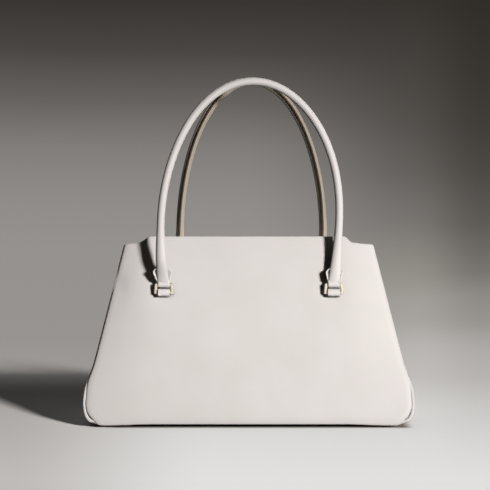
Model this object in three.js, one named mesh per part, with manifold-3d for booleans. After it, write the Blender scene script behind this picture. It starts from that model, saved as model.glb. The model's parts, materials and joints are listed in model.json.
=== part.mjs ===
// Structured leather tote bag with two rolled handles on metal rings.
// Millimetres, +Z up, front towards -Y, standing on its four feet at z = 0.
import * as THREE from 'three';
import { mergeVertices } from 'three/addons/utils/BufferGeometryUtils.js';
import Module from 'manifold-3d';

// Clearance between pieces that touch on the real bag
const fitGap = 0.3;

// Body outline, measured on the piped seam that joins each panel to the gussets
const baseWidth = 377;
const topWidth = 290;
const bodyHeight = 204.5;
const cornerRadius = 24.5;
const baseDepth = 124;
const topDepth = 36;
const groundGap = 4.6;

// Top edge: a raised straight middle, an S-shaped step and a sloping shoulder at each side
const shoulderWidth = 14.5;
const shoulderRise = 2.7;
const stepWidth = 13;
const stepRise = 7.2;
const riseBlend = 60;

// Form of the soft walls
const mouthDepth = 44;
const bellyRise = 4;
const flatMargin = 2;
const gussetFold = 10;

// Leather, piping, lining and boards
const panelThickness = 2;
const pipingDiameter = 3.2;
const liningThickness = 0.8;
const facingThickness = 1.2;
const facingHeight = 46;
const boardThickness = 2.5;
const boardMargin = 2.5;
const edgeSetback = 0.8;

// Feet through the base
const footDiameter = 13;
const footFlat = 8;
const footBulge = 12;
const bulgeHeight = 1.4;
const shankDiameter = 3.4;
const washerDiameter = 11;
const washerThickness = 1;
const footInsetX = 22;
const footInsetY = 26;

// Rings and the chapes that hold them
const ringSpacing = 197;
const chapeDrop = 57;
const chapeWidth = 14.2;
const chapeThickness = 2.4;
const tailThickness = 1.5;
const tailReach = 8;
const tailGap = 0.5;
const ringWire = 3.4;
const ringWireRound = 1;
const ringCorner = 2.2;
const ringSlack = 1;
const chapeSideGap = 1.1;
const tabSideGap = 0.6;

// Handles: a round core in a leather tube that flattens into a tab at each end
const coreDiameter = 6;
const coverThickness = 1.5;
const flatBore = 0.6;
const tabWidth = 13;
const tabThickness = 1.6;
const leafWidth = 21.5;
const leafTipWidth = 9;
const leafShoulder = 18;
const leafHeight = 25;
const flareLength = 50;
const flattenLength = 20;
const hipHeight = 75;
const frontHandle = { hipSpan: 206.6, rise: 235.5, lean: 5 };
const backHandle = { hipSpan: 173, rise: 245, lean: -7.5 };

// Magnetic snap under the mouth
const snapDiameter = 15;
const snapThickness = 2.2;
const snapRecess = 0.8;
const snapKnob = 7;
const snapDrop = 20;
const snapBevel = 0.9;

// Facets
const cornerSteps = 5;
const sideSteps = 8;
const liningSteps = 5;
const flatSteps = 4;
const stepSteps = 3;
const gussetSteps = 8;
const tubeSides = 10;
const archSteps = 26;
const roundSegments = 12;
const holeSegments = 6;
const loopSegments = 9;
const wireSegments = 2;
const pipingSides = 8;
const foldSteps = 6;

const { lerp, clamp, smoothstep } = THREE.MathUtils;
const leather = new THREE.MeshStandardMaterial({ color: '#e6e0da', roughness: 0.45, metalness: 0 });
const lightGold = new THREE.MeshStandardMaterial({ color: '#e3cfa6', roughness: 0.22, metalness: 1 });
const liningCloth = new THREE.MeshStandardMaterial({ color: '#b7aa9a', roughness: 0.85, metalness: 0 });
const fibreboard = new THREE.MeshStandardMaterial({ color: '#8a7a66', roughness: 0.9, metalness: 0 });
const cottonRope = new THREE.MeshStandardMaterial({ color: '#d8d0c0', roughness: 0.95, metalness: 0 });

// Places worked out from the sizes
const seamZ = groundGap + pipingDiameter / 2;
const edgeInset = pipingDiameter / 2 + fitGap;
const wallGap = tailThickness + 2 * tailGap;
const liningInset = panelThickness / 2 + wallGap;
const arcX = baseWidth / 2 - cornerRadius;
const arcZ = seamZ + cornerRadius;
const topX = topWidth / 2;
const topZ = seamZ + bodyHeight;
const sideLength = Math.hypot(topX - arcX, topZ - arcZ);
const sideTurn = Math.atan2(topZ - arcZ, topX - arcX) - Math.acos(cornerRadius / sideLength);
const boardBottom = seamZ + panelThickness / 2 + fitGap;
const boardTop = boardBottom + boardThickness;
const washerBottom = boardTop + fitGap;
const washerTop = washerBottom + washerThickness;
const facingBottom = topZ - facingHeight;
const flatReach = ringSpacing / 2 + chapeWidth / 2 + flatMargin;
const footX = arcX - footInsetX;
const footY = baseDepth / 2 - footInsetY;

// Collects shared points and faces into one closed surface
class Skin {
  points = [];
  faces = [];

  row(points) {
    const first = this.points.length;
    this.points.push(...points);
    return points.map((_, i) => first + i);
  }

  strip(low, high) {
    for (let i = 0; i + 1 < low.length; i++) {
      this.faces.push(low[i], low[i + 1], high[i + 1]);
      this.faces.push(low[i], high[i + 1], high[i]);
    }
  }

  fan(ring, centre) {
    const [hub] = this.row([centre]);
    for (let i = 0; i + 1 < ring.length; i++) this.faces.push(hub, ring[i], ring[i + 1]);
  }

  volume() {
    let sum = 0;
    for (let i = 0; i < this.faces.length; i += 3) {
      const [a, b, c] = this.faces.slice(i, i + 3).map((k) => this.points[k]);
      sum += a.dot(b.clone().cross(c)) / 6;
    }
    return sum;
  }

  geometry() {
    const faces = this.volume() < 0 ? this.faces.toReversed() : this.faces;
    const geometry = new THREE.BufferGeometry().setFromPoints(this.points);
    geometry.setIndex(faces);
    geometry.computeVertexNormals();
    return geometry;
  }
}

const point = (x, y, z) => new THREE.Vector3(x, y, z);
const closed = (row) => [...row, row[0]];
const column = (rows, i) => rows.map((row) => row.at(i));
const sumOf = (points) => points.reduce((sum, p) => sum.add(p), point(0, 0, 0));
const centreOf = (points) => sumOf(points).divideScalar(points.length);

// Wall between two grids of points, closed round its four edges
function wallSolid(outerGrid, innerGrid) {
  const skin = new Skin();
  const outer = outerGrid.map((row) => skin.row(row));
  const inner = innerGrid.map((row) => skin.row(row));
  for (let i = 0; i + 1 < outer.length; i++) {
    skin.strip(outer[i], outer[i + 1]);
    skin.strip(inner[i + 1], inner[i]);
  }
  skin.strip(inner[0], outer[0]);
  skin.strip(outer.at(-1), inner.at(-1));
  skin.strip(column(outer, 0), column(inner, 0));
  skin.strip(column(inner, -1), column(outer, -1));
  return skin.geometry();
}

// Tube or band through closed loops, hollow when inner loops are given
function loopSolid(outerLoops, innerLoops, floor) {
  const skin = new Skin();
  const outer = outerLoops.map((loop) => closed(skin.row(loop)));
  const inner = (innerLoops ?? []).map((loop) => closed(skin.row(loop)));
  for (let i = 0; i + 1 < outer.length; i++) skin.strip(outer[i], outer[i + 1]);
  for (let i = 0; i + 1 < inner.length; i++) skin.strip(inner[i + 1], inner[i]);
  if (!innerLoops) {
    skin.fan(outer[0].toReversed(), centreOf(outerLoops[0]));
    skin.fan(outer.at(-1), centreOf(outerLoops.at(-1)));
  } else {
    skin.strip(outer.at(-1), inner.at(-1));
    if (floor) {
      skin.fan(outer[0].toReversed(), centreOf(outerLoops[0]));
      skin.fan(inner[0], centreOf(innerLoops[0]));
    } else {
      skin.strip(inner[0], outer[0]);
    }
  }
  return skin.geometry();
}

const wasm = await Module();
wasm.setup();

function asSolid(geometry) {
  const bare = geometry.clone();
  bare.deleteAttribute('normal');
  bare.deleteAttribute('uv');
  const merged = mergeVertices(bare, 1e-4);
  const vertProperties = new Float32Array(merged.attributes.position.array);
  const triVerts = new Uint32Array(merged.index.array);
  return new wasm.Manifold(new wasm.Mesh({ numProp: 3, vertProperties, triVerts }));
}

function cut(geometry, cutters) {
  const solid = cutters.reduce((left, cutter) => left.subtract(asSolid(cutter)), asSolid(geometry));
  const mesh = solid.getMesh();
  const result = new THREE.BufferGeometry();
  result.setAttribute('position', new THREE.BufferAttribute(mesh.vertProperties, 3));
  result.setIndex(new THREE.BufferAttribute(mesh.triVerts, 1));
  result.computeVertexNormals();
  return result;
}

// Right half of the seam outline, set inwards: the corner's arc, then the slanted side up to endZ
function outlineRows(inset, endZ, steps, lift = 0) {
  const slide = lift / Math.cos(sideTurn);
  const rows = [];
  for (let i = 0; i <= cornerSteps; i++) {
    const turn = lerp(-Math.PI / 2, sideTurn, i / cornerSteps);
    const x = arcX - slide * Math.sin(sideTurn) + (cornerRadius - inset) * Math.cos(turn);
    const z = arcZ + slide * Math.cos(sideTurn) + (cornerRadius - inset) * Math.sin(turn);
    rows.push({ x, z, turn });
  }
  const start = rows.at(-1).z;
  for (let i = 1; i <= steps; i++) rows.push(sideRow(lerp(start, endZ, i / steps), inset));
  return rows;
}

// One point of the slanted side at a given height
function sideRow(z, inset) {
  const x = topX + (topZ - z) * Math.tan(sideTurn) - inset / Math.cos(sideTurn);
  return { x, z, turn: sideTurn };
}

// Half depth of the body at the side seams and at the middle of the panels
const heightShare = (z) => Math.max(0, (z - seamZ) / bodyHeight);
const seamDepth = (z) => lerp(baseDepth, topDepth, heightShare(z)) / 2;
function middleDepth(z) {
  const belly = bellyRise * Math.sin(Math.PI * heightShare(z));
  return lerp(baseDepth, mouthDepth, heightShare(z)) / 2 + belly;
}

// Half depth of a panel that is flat between the chapes and turns back towards the gusset outside them
function panelDepth(x, edge, z) {
  const turn = clamp((Math.abs(x) - flatReach) / (edge - flatReach), 0, 1);
  return lerp(middleDepth(z), seamDepth(z), turn * turn);
}

// Height of the top edge above the top corners
function topRise(x, edge) {
  const inward = edge - Math.abs(x);
  if (inward < shoulderWidth) return (shoulderRise * inward) / shoulderWidth;
  const step = clamp((inward - shoulderWidth) / stepWidth, 0, 1);
  return shoulderRise + stepRise * (0.5 - 0.5 * Math.cos(Math.PI * step));
}

// Columns of a wall, as places along its top edge: even over the flat middle, then on the edge's features
function topColumns(edge) {
  const foot = edge - shoulderWidth;
  const crown = foot - stepWidth;
  const right = [lerp(foot, edge, 0.5), edge];
  for (let i = 1; i <= flatSteps; i++) right.push((flatReach * i) / flatSteps);
  for (let i = 0; i <= stepSteps; i++) right.push(lerp(crown, foot, i / stepSteps));
  return bothSides(right.sort((a, b) => a - b));
}

// Columns of a wall that ends below the shaped top edge
const plainColumns = (edge) => bothSides([flatReach / 2, flatReach, lerp(flatReach, edge, 0.5), edge]);
const bothSides = (right) => [...right.toReversed().map((x) => -x), 0, ...right];

// Front wall points of one row: columns stand upright over the flat middle and fan out beside it
function frontRow(row, inset, depthInset, columns) {
  const topEdge = sideRow(topZ, inset).x;
  const lifted = smoothstep(row.z, topZ - riseBlend, topZ);
  return columns(topEdge).map((column) => {
    const beside = Math.max(0, (Math.abs(column) - flatReach) / (topEdge - flatReach));
    const x = Math.sign(column) * lerp(Math.min(Math.abs(column), flatReach), row.x, beside);
    const z = row.z + topRise(column, topEdge) * lifted;
    return point(x, -panelDepth(x, row.x, z) + depthInset, z);
  });
}

function panel() {
  const rows = outlineRows(edgeInset, topZ, sideSteps);
  const half = panelThickness / 2;
  const outer = rows.map((row) => frontRow(row, edgeInset, -half, topColumns));
  const inner = rows.map((row) => frontRow(row, edgeInset, half, topColumns));
  return cut(wallSolid(outer, inner), [slotCutter(-1), slotCutter(1)]);
}

// Inward fold of the gusset's middle, growing from the base to the mouth
function foldDepth(y, z) {
  const across = clamp(y / seamDepth(z), -1, 1);
  return gussetFold * heightShare(z) ** 1.5 * (0.5 + 0.5 * Math.cos(Math.PI * across));
}

function gussetPoint(row, y, inset) {
  const inward = inset + foldDepth(y, row.z);
  return point(row.x - inward * Math.cos(row.turn), y, row.z - inward * Math.sin(row.turn));
}

function gusset() {
  const across = Array.from({ length: gussetSteps + 1 }, (_, i) => (2 * i) / gussetSteps - 1);
  const grid = (inset) =>
    outlineRows(0, topZ, sideSteps).map((row) =>
      across.map((share) => gussetPoint(row, share * (seamDepth(row.z) - edgeInset), inset)),
    );
  return wallSolid(grid(-panelThickness / 2), grid(panelThickness / 2));
}

// Closed loop round the inside of the body at one row, set in from the middle surfaces
function bodyLoop(row, inset, columns) {
  const front = frontRow(row, inset, inset, columns);
  const sideDepth = seamDepth(row.z) - inset;
  const right = [];
  for (let i = 1; i < gussetSteps; i++) {
    const y = sideDepth * ((2 * i) / gussetSteps - 1);
    right.push(point(row.x - foldDepth(y, row.z), y, row.z));
  }
  const half = [...front, ...right];
  return [...half, ...half.map((p) => point(-p.x, -p.y, p.z))];
}

function lining() {
  const lift = washerTop + fitGap - seamZ - liningInset;
  const endZ = facingBottom - fitGap;
  const loops = (inset) =>
    outlineRows(inset, endZ, liningSteps, lift).map((row) => bodyLoop(row, inset, plainColumns));
  return loopSolid(loops(liningInset), loops(liningInset + liningThickness), true);
}

function facing() {
  const heights = [0, 1 / 3, 2 / 3, 1].map((share) => lerp(facingBottom, topZ - edgeSetback, share));
  const loops = (inset) => heights.map((z) => bodyLoop(sideRow(z, inset), inset, topColumns));
  return loopSolid(loops(liningInset), loops(liningInset + facingThickness), false);
}

// Stiff strip between panel and facing that keeps the raised middle of the mouth straight
function stiffener() {
  const reach = flatReach - boardMargin;
  const low = chapeRootZ + tailReach + boardMargin;
  const high = topZ + shoulderRise + stepRise - boardMargin;
  const near = panelThickness / 2 + fitGap;
  const far = panelThickness / 2 + wallGap - fitGap;
  const grid = (inset) =>
    [0, 1 / 3, 2 / 3, 1].map((share) => {
      const z = lerp(low, high, share);
      return [-1, 1].map((side) => point(side * reach, -middleDepth(z) + inset, z));
    });
  return wallSolid(grid(near), grid(far));
}

function piping() {
  const right = outlineRows(0, topZ, sideSteps);
  const left = right.map((row) => ({ x: -row.x, z: row.z, turn: Math.PI - row.turn })).toReversed();
  const loops = [...left, ...right].map((row) =>
    ringAngles(pipingSides).map((angle) => {
      const out = (pipingDiameter / 2) * Math.cos(angle);
      const y = -seamDepth(row.z) + (pipingDiameter / 2) * Math.sin(angle);
      return point(row.x + out * Math.cos(row.turn), y, row.z + out * Math.sin(row.turn));
    }),
  );
  return loopSolid(loops);
}

function ringAngles(count) {
  return Array.from({ length: count }, (_, i) => (2 * Math.PI * i) / count);
}

// Flat sheet with a hole for each foot
function footedSheet(halfLength, halfDepth, bottom, thickness) {
  const outline = new THREE.Shape();
  outline.moveTo(-halfLength, -halfDepth);
  outline.lineTo(halfLength, -halfDepth);
  outline.lineTo(halfLength, halfDepth);
  outline.lineTo(-halfLength, halfDepth);
  outline.closePath();
  for (const [x, y] of footPlaces()) {
    const hole = new THREE.Path();
    hole.absarc(x, y, shankDiameter / 2 + fitGap, 0, 2 * Math.PI);
    outline.holes.push(hole);
  }
  const options = { depth: thickness, bevelEnabled: false, curveSegments: holeSegments };
  const sheet = new THREE.ExtrudeGeometry(outline, options);
  return sheet.translate(0, 0, bottom);
}

function footPlaces() {
  return [-1, 1].flatMap((y) => [-1, 1].map((x) => [x * footX, y * footY]));
}

// Turned profile of [radius, height] pairs, stood upright
function turned(profile) {
  const line = profile.map(([radius, height]) => new THREE.Vector2(radius, height));
  return new THREE.LatheGeometry(line, roundSegments).rotateX(Math.PI / 2);
}

// Domed foot with the shank that goes up through base and board
function foot() {
  const top = seamZ - panelThickness / 2 - fitGap;
  return turned([
    [0, 0],
    [footFlat / 2, 0],
    [footBulge / 2, bulgeHeight],
    [footDiameter / 2, top],
    [shankDiameter / 2, top],
    [shankDiameter / 2, washerTop],
    [0, washerTop],
  ]);
}

function washer() {
  const bore = shankDiameter / 2 + fitGap;
  return turned([
    [bore, washerBottom],
    [washerDiameter / 2, washerBottom],
    [washerDiameter / 2, washerTop],
    [bore, washerTop],
    [bore, washerBottom],
  ]);
}

// Half of the magnetic snap: a recessed socket, or a knob that enters it
function snapHalf(middle, middleHeight) {
  return turned([
    [0, 0],
    [snapDiameter / 2, 0],
    [snapDiameter / 2, snapThickness - snapBevel],
    [snapDiameter / 2 - snapBevel, snapThickness],
    [middle / 2, snapThickness],
    [middle / 2, middleHeight],
    [0, middleHeight],
  ]);
}

// Turns a snap half to the slope of the facing and seats it there
function snapSeat() {
  const z = topZ + shoulderRise + stepRise - snapDrop;
  const lean = panelLean(z);
  const inward = point(0, Math.cos(lean), -Math.sin(lean));
  const across = point(1, 0, 0);
  const root = point(0, -middleDepth(z) + liningInset + facingThickness, z);
  root.addScaledVector(inward, fitGap);
  return new THREE.Matrix4().makeBasis(across, inward.clone().cross(across), inward).setPosition(root);
}

// Backward lean of the front panel's middle at a height
function panelLean(z) {
  return Math.atan(middleDepth(z - 0.5) - middleDepth(z + 0.5));
}

// The chape stands square to the panel, with the ring's lower bar in its loop
const chapeRootZ = topZ - chapeDrop;
const chapeLean = panelLean(chapeRootZ);
const outward = point(0, -Math.cos(chapeLean), Math.sin(chapeLean));
const upward = point(0, Math.sin(chapeLean), Math.cos(chapeLean));
const wireReach = (ringWire / 2 - ringWireRound) * Math.SQRT2 + ringWireRound;
const barHole = wireReach + fitGap;
const chapeLoop = barHole + chapeThickness;
const foldRadius = barHole + tabThickness;
const barStandoff = panelThickness / 2 + fitGap + chapeLoop;
const barPitch = chapeLoop + ringSlack + foldRadius;
const lowerBar = point(0, -middleDepth(chapeRootZ), chapeRootZ).addScaledVector(outward, barStandoff);
const upperBarZ = lowerBar.z + barPitch;

function chapeFrame(side) {
  const root = point((side * ringSpacing) / 2, -middleDepth(chapeRootZ), chapeRootZ);
  return new THREE.Matrix4().makeBasis(outward, upward, point(-1, 0, 0)).setPosition(root);
}

function slotCutter(side) {
  const through = panelThickness + 2 * barStandoff;
  const slot = new THREE.BoxGeometry(through, 2 * (chapeThickness + fitGap), chapeWidth + 2 * fitGap);
  return slot.applyMatrix4(chapeFrame(side));
}

// Loop round the bar, a neck of two layers through the panel, and the tails sewn flat behind it
function chape(side) {
  const front = -panelThickness / 2 - tailGap;
  const back = front - tailThickness;
  const neckTurn = Math.asin(chapeThickness / chapeLoop);
  const section = new THREE.Shape();
  section.moveTo(back, -tailReach);
  section.lineTo(front, -tailReach);
  section.lineTo(front, -chapeThickness);
  section.absarc(barStandoff, 0, chapeLoop, Math.PI + neckTurn, 3 * Math.PI - neckTurn);
  section.lineTo(front, chapeThickness);
  section.lineTo(front, tailReach);
  section.lineTo(back, tailReach);
  section.closePath();
  const hole = new THREE.Path();
  hole.absarc(barStandoff, 0, barHole, 0, 2 * Math.PI);
  section.holes.push(hole);
  const options = { depth: chapeWidth, bevelEnabled: false, curveSegments: loopSegments };
  const loop = new THREE.ExtrudeGeometry(section, options);
  return loop.translate(0, 0, -chapeWidth / 2).applyMatrix4(chapeFrame(side));
}

// Trapezium with round corners, from one bar's height to the other's
function trapezium(path, bottom, top, low, high, corner) {
  const corners = [[-bottom, low], [bottom, low], [top, high], [-top, high]];
  corners.forEach(([x, z], i) => {
    const before = new THREE.Vector2(...corners.at(i - 1));
    const after = new THREE.Vector2(...corners[(i + 1) % 4]);
    const tip = new THREE.Vector2(x, z);
    const start = before.sub(tip).setLength(corner).add(tip);
    const end = after.sub(tip).setLength(corner).add(tip);
    if (i === 0) path.moveTo(start.x, start.y);
    else path.lineTo(start.x, start.y);
    path.quadraticCurveTo(x, z, end.x, end.y);
  });
  path.closePath();
}

// Ring wider at the chape than at the handle, its wire square with rounded edges
function ring(side) {
  const bottom = chapeWidth / 2 + chapeSideGap;
  const top = tabWidth / 2 + tabSideGap;
  const half = ringWire / 2;
  const frame = new THREE.Shape();
  const window = new THREE.Path();
  trapezium(frame, bottom + ringWire, top + ringWire, -half, barPitch + half, ringCorner);
  trapezium(window, bottom, top, half, barPitch - half, ringWireRound);
  frame.holes.push(window);
  const wire = new THREE.ExtrudeGeometry(frame, {
    depth: ringWire - 2 * ringWireRound,
    bevelThickness: ringWireRound,
    bevelSize: ringWireRound,
    bevelOffset: -ringWireRound,
    bevelSegments: wireSegments,
    curveSegments: wireSegments,
  });
  wire.translate(0, 0, ringWireRound - half).rotateX(Math.PI / 2);
  return wire.translate((side * ringSpacing) / 2, lowerBar.y, lowerBar.z);
}

// Handle centreline from the left upper bar over the crown to the right one
class HandleLine extends THREE.Curve {
  constructor(shape) {
    super();
    this.shape = shape;
  }

  legX(side, height) {
    const { hipSpan, rise, lean } = this.shape;
    const below = 1 - height / hipHeight;
    return (side * (hipSpan - (hipSpan - ringSpacing) * below * below)) / 2 + (lean * height) / rise;
  }

  getPoint(t) {
    const { hipSpan, rise, lean } = this.shape;
    const side = t < 0.5 ? -1 : 1;
    const legShare = hipHeight / rise;
    const along = 1 - Math.abs(2 * t - 1);
    if (along < legShare) {
      const height = along * rise;
      return point(this.legX(side, height), lowerBar.y, upperBarZ + height);
    }
    const turn = ((along - legShare) / (1 - legShare)) * (Math.PI / 2);
    const height = hipHeight + (rise - hipHeight) * Math.sin(turn);
    const x = side * (hipSpan / 2) * Math.cos(turn) + (lean * height) / rise;
    return point(x, lowerBar.y, upperBarZ + height);
  }
}

const tubeRadius = coreDiameter / 2 + fitGap + coverThickness;
const coverStart = barHole + fitGap;

// Distances along the handle at which its section is drawn
function handleStations(line) {
  const length = line.getLength();
  const flare = [0, 0.1, 0.2, 0.32, 0.48, 0.7].map((share) => lerp(coverStart, flareLength, share));
  const arch = Array.from({ length: archSteps + 1 }, (_, i) =>
    lerp(flareLength, length - flareLength, i / archSteps),
  );
  return [...flare, ...arch, ...flare.toReversed().map((distance) => length - distance)];
}

// Oval section across the handle, round in the middle and flattened towards the bars
function handleSection(line, distance, wall) {
  const length = line.getLength();
  const fromEnd = Math.min(distance, length - distance);
  const centre = line.getPointAt(distance / length);
  const upright = point(0, 0, distance < length / 2 ? 1 : -1);
  const swell = smoothstep(fromEnd, coverStart, flattenLength);
  const along = upright.lerp(line.getTangentAt(distance / length), swell);
  const across = point(0, 1, 0).cross(along).normalize();
  const flatDepth = coverThickness + flatBore;
  const flare = smoothstep(fromEnd, coverStart, flareLength);
  const halfWidth = lerp(tabWidth / 2, tubeRadius, flare) - wall;
  const halfDepth = lerp(flatDepth, tubeRadius, swell) - wall;
  centre.y += lerp(flatDepth - foldRadius, 0, swell);
  return ringAngles(tubeSides).map((angle) => {
    const p = centre.clone().addScaledVector(across, halfWidth * Math.cos(angle));
    p.y += halfDepth * Math.sin(angle);
    return p;
  });
}

function handleCover(line) {
  const loops = (wall) => handleStations(line).map((distance) => handleSection(line, distance, wall));
  return loopSolid(loops(0), loops(coverThickness), false);
}

function handleCore(line) {
  const length = line.getLength();
  const fromEnd = (distance) => Math.min(distance, length - distance);
  const inside = handleStations(line).filter((distance) => fromEnd(distance) > flareLength - fitGap);
  return loopSolid(inside.map((distance) => handleSection(line, distance, coverThickness + fitGap)));
}

// Route of the tab in side view, from its front end round the bar and up behind the handle
function tabRoute() {
  const radius = foldRadius - tabThickness / 2;
  const leafY = tubeRadius + fitGap + tabThickness / 2;
  const route = [{ y: -radius, height: barHole, leaf: 0 }];
  for (let i = 0; i <= foldSteps; i++) {
    const turn = Math.PI * (1 + i / foldSteps);
    route.push({ y: radius * Math.cos(turn), height: radius * Math.sin(turn), leaf: 0 });
  }
  for (const share of [0.25, 0.5, 0.75, 1]) {
    route.push({ y: lerp(radius, leafY, share), height: leafShoulder * share, leaf: leafShoulder * share });
  }
  for (const share of [0.5, 0.85, 1]) {
    const height = lerp(leafShoulder, leafHeight, share);
    route.push({ y: leafY, height, leaf: height });
  }
  return route;
}

// Half width of the tab: a strap at the bar, a leaf with round shoulders above
function tabHalfWidth(leaf) {
  if (leaf < leafShoulder) return lerp(tabWidth, leafWidth, smoothstep(leaf, 0, leafShoulder)) / 2;
  const tip = (leaf - leafShoulder) / (leafHeight - leafShoulder);
  return lerp(leafTipWidth, leafWidth, Math.sqrt(1 - tip * tip)) / 2;
}

function handleTab(line, side) {
  const route = tabRoute();
  const grid = (offset) =>
    route.map(({ y, height, leaf }, i) => {
      const before = route[Math.max(0, i - 1)];
      const after = route[Math.min(route.length - 1, i + 1)];
      const slope = new THREE.Vector2(after.y - before.y, after.height - before.height).normalize();
      return [-1, 0, 1].map((share) => {
        const x = line.legX(side, leaf) + share * tabHalfWidth(leaf);
        return point(x, lowerBar.y + y + offset * slope.y, upperBarZ + height - offset * slope.x);
      });
    });
  return wallSolid(grid(tabThickness / 2), grid(-tabThickness / 2));
}

function place(parent, name, geometry, material, x = 0, y = 0) {
  const mesh = new THREE.Mesh(geometry, material);
  mesh.name = name;
  mesh.position.set(x, y, 0);
  parent.add(mesh);
  return mesh;
}

// The back half is the front half turned half a turn about the vertical
const bag = new THREE.Group();
const front = new THREE.Group();
const back = new THREE.Group();
back.rotation.z = Math.PI;
bag.add(front, back);

const panelShape = panel();
const pipingShape = piping();
const gussetShape = gusset();
const stiffenerShape = stiffener();
for (const [half, name, gussetName] of [[front, 'front', 'right'], [back, 'back', 'left']]) {
  place(half, `${name}_panel`, panelShape, leather);
  place(half, `${name}_piping`, pipingShape, leather);
  place(half, `${name}_stiffener`, stiffenerShape, fibreboard);
  place(half, `${gussetName}_gusset`, gussetShape, leather);
}

const baseBottom = seamZ - panelThickness / 2;
const baseReach = baseDepth / 2 - edgeInset;
const boardReach = baseDepth / 2 - panelThickness / 2 - boardMargin;
const baseShape = footedSheet(arcX - fitGap, baseReach, baseBottom, panelThickness);
const boardShape = footedSheet(arcX - boardMargin, boardReach, boardBottom, boardThickness);
place(bag, 'base_panel', baseShape, leather);
place(bag, 'base_board', boardShape, fibreboard);
place(bag, 'lining', lining(), liningCloth);
place(bag, 'mouth_facing', facing(), leather);

const footNames = ['front_left', 'front_right', 'back_left', 'back_right'];
footPlaces().forEach(([x, y], i) => {
  place(bag, `${footNames[i]}_foot`, foot(), lightGold, x, y);
  place(bag, `${footNames[i]}_foot_washer`, washer(), lightGold, x, y);
});

place(front, 'snap_socket', snapHalf(snapKnob + 2 * fitGap, snapThickness - snapRecess), lightGold)
  .applyMatrix4(snapSeat());
place(back, 'snap_stud', snapHalf(snapKnob, snapThickness + snapRecess), lightGold).applyMatrix4(snapSeat());

for (const [half, name, shape, hand] of [[front, 'front', frontHandle, 1], [back, 'back', backHandle, -1]]) {
  const line = new HandleLine(shape);
  place(half, `${name}_handle_cover`, handleCover(line), leather);
  place(half, `${name}_handle_core`, handleCore(line), cottonRope);
  for (const side of [-1, 1]) {
    const end = `${name}_${side * hand < 0 ? 'left' : 'right'}`;
    place(half, `${end}_chape`, chape(side), leather);
    place(half, `${end}_ring`, ring(side), lightGold);
    place(half, `${end}_handle_tab`, handleTab(line, side), leather);
  }
}

export default bag;
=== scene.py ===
import json
import math
from bisect import bisect_right

import bmesh
import bpy
from mathutils import Matrix, Vector, noise


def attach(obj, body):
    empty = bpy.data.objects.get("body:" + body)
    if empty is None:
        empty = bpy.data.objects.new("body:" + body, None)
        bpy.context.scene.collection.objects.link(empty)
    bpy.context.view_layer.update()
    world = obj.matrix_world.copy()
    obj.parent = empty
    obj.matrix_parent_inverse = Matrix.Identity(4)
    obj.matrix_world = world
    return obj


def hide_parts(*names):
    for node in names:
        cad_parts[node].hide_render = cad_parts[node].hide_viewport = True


# Structured leather tote bag, in metres, front towards -Y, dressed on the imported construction.
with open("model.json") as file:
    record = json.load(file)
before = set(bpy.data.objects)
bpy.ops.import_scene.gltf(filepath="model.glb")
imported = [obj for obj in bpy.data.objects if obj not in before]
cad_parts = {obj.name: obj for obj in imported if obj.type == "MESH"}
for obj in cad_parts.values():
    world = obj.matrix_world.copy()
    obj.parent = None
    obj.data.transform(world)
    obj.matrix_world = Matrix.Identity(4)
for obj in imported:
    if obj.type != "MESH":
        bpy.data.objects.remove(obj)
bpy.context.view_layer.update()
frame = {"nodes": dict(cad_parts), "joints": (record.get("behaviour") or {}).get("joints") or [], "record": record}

MM = 0.001
FIT_GAP = 0.3 * MM

# Body outline on the piped seam: as constructed, but for the corners, which the load draws tighter
BASE_WIDTH = 377 * MM
TOP_WIDTH = 290 * MM
BODY_HEIGHT = 204.5 * MM
CORNER_RADIUS = 21 * MM
BASE_DEPTH = 124 * MM
TOP_DEPTH = 36 * MM
GROUND_GAP = 4.6 * MM
SHOULDER_RISE = 2.7 * MM
STEP_RISE = 7.2 * MM
RISE_BLEND = 60 * MM
MOUTH_DEPTH = 44 * MM
BELLY_RISE = 4 * MM
GUSSET_FOLD = 10 * MM

# Leather, piping, lining and base
PANEL = 2 * MM
PIPING = 3.2 * MM
LINING = 0.8 * MM
FACING = 1.2 * MM
FACING_HEIGHT = 46 * MM
BOARD = 2.5 * MM
EDGE_SETBACK = 0.8 * MM
WALL_GAP = 2.5 * MM

# Feet and snap
FOOT_RADIUS = 6.5 * MM
FOOT_FLAT = 4 * MM
SHANK_RADIUS = 1.7 * MM
WASHER = 1 * MM
SNAP_RADIUS = 7.5 * MM
SNAP_THICKNESS = 2.2 * MM
SNAP_RECESS = 0.8 * MM
SNAP_KNOB = 3.5 * MM
SNAP_DROP = 20 * MM

# Rings, chapes and handle ends
RING_SPACING = 197 * MM
CHAPE_DROP = 57 * MM
CHAPE_WIDTH = 14.2 * MM
CHAPE_THICKNESS = 2.4 * MM
TAIL_THICKNESS = 1.5 * MM
TAIL_REACH = 8 * MM
TAIL_GAP = 0.5 * MM
RING_WIRE = 3.4 * MM
RING_ROUND = 1 * MM
CHAPE_SIDE_GAP = 1.1 * MM
TAB_SIDE_GAP = 0.6 * MM
FLAT_MARGIN = 2 * MM

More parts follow.
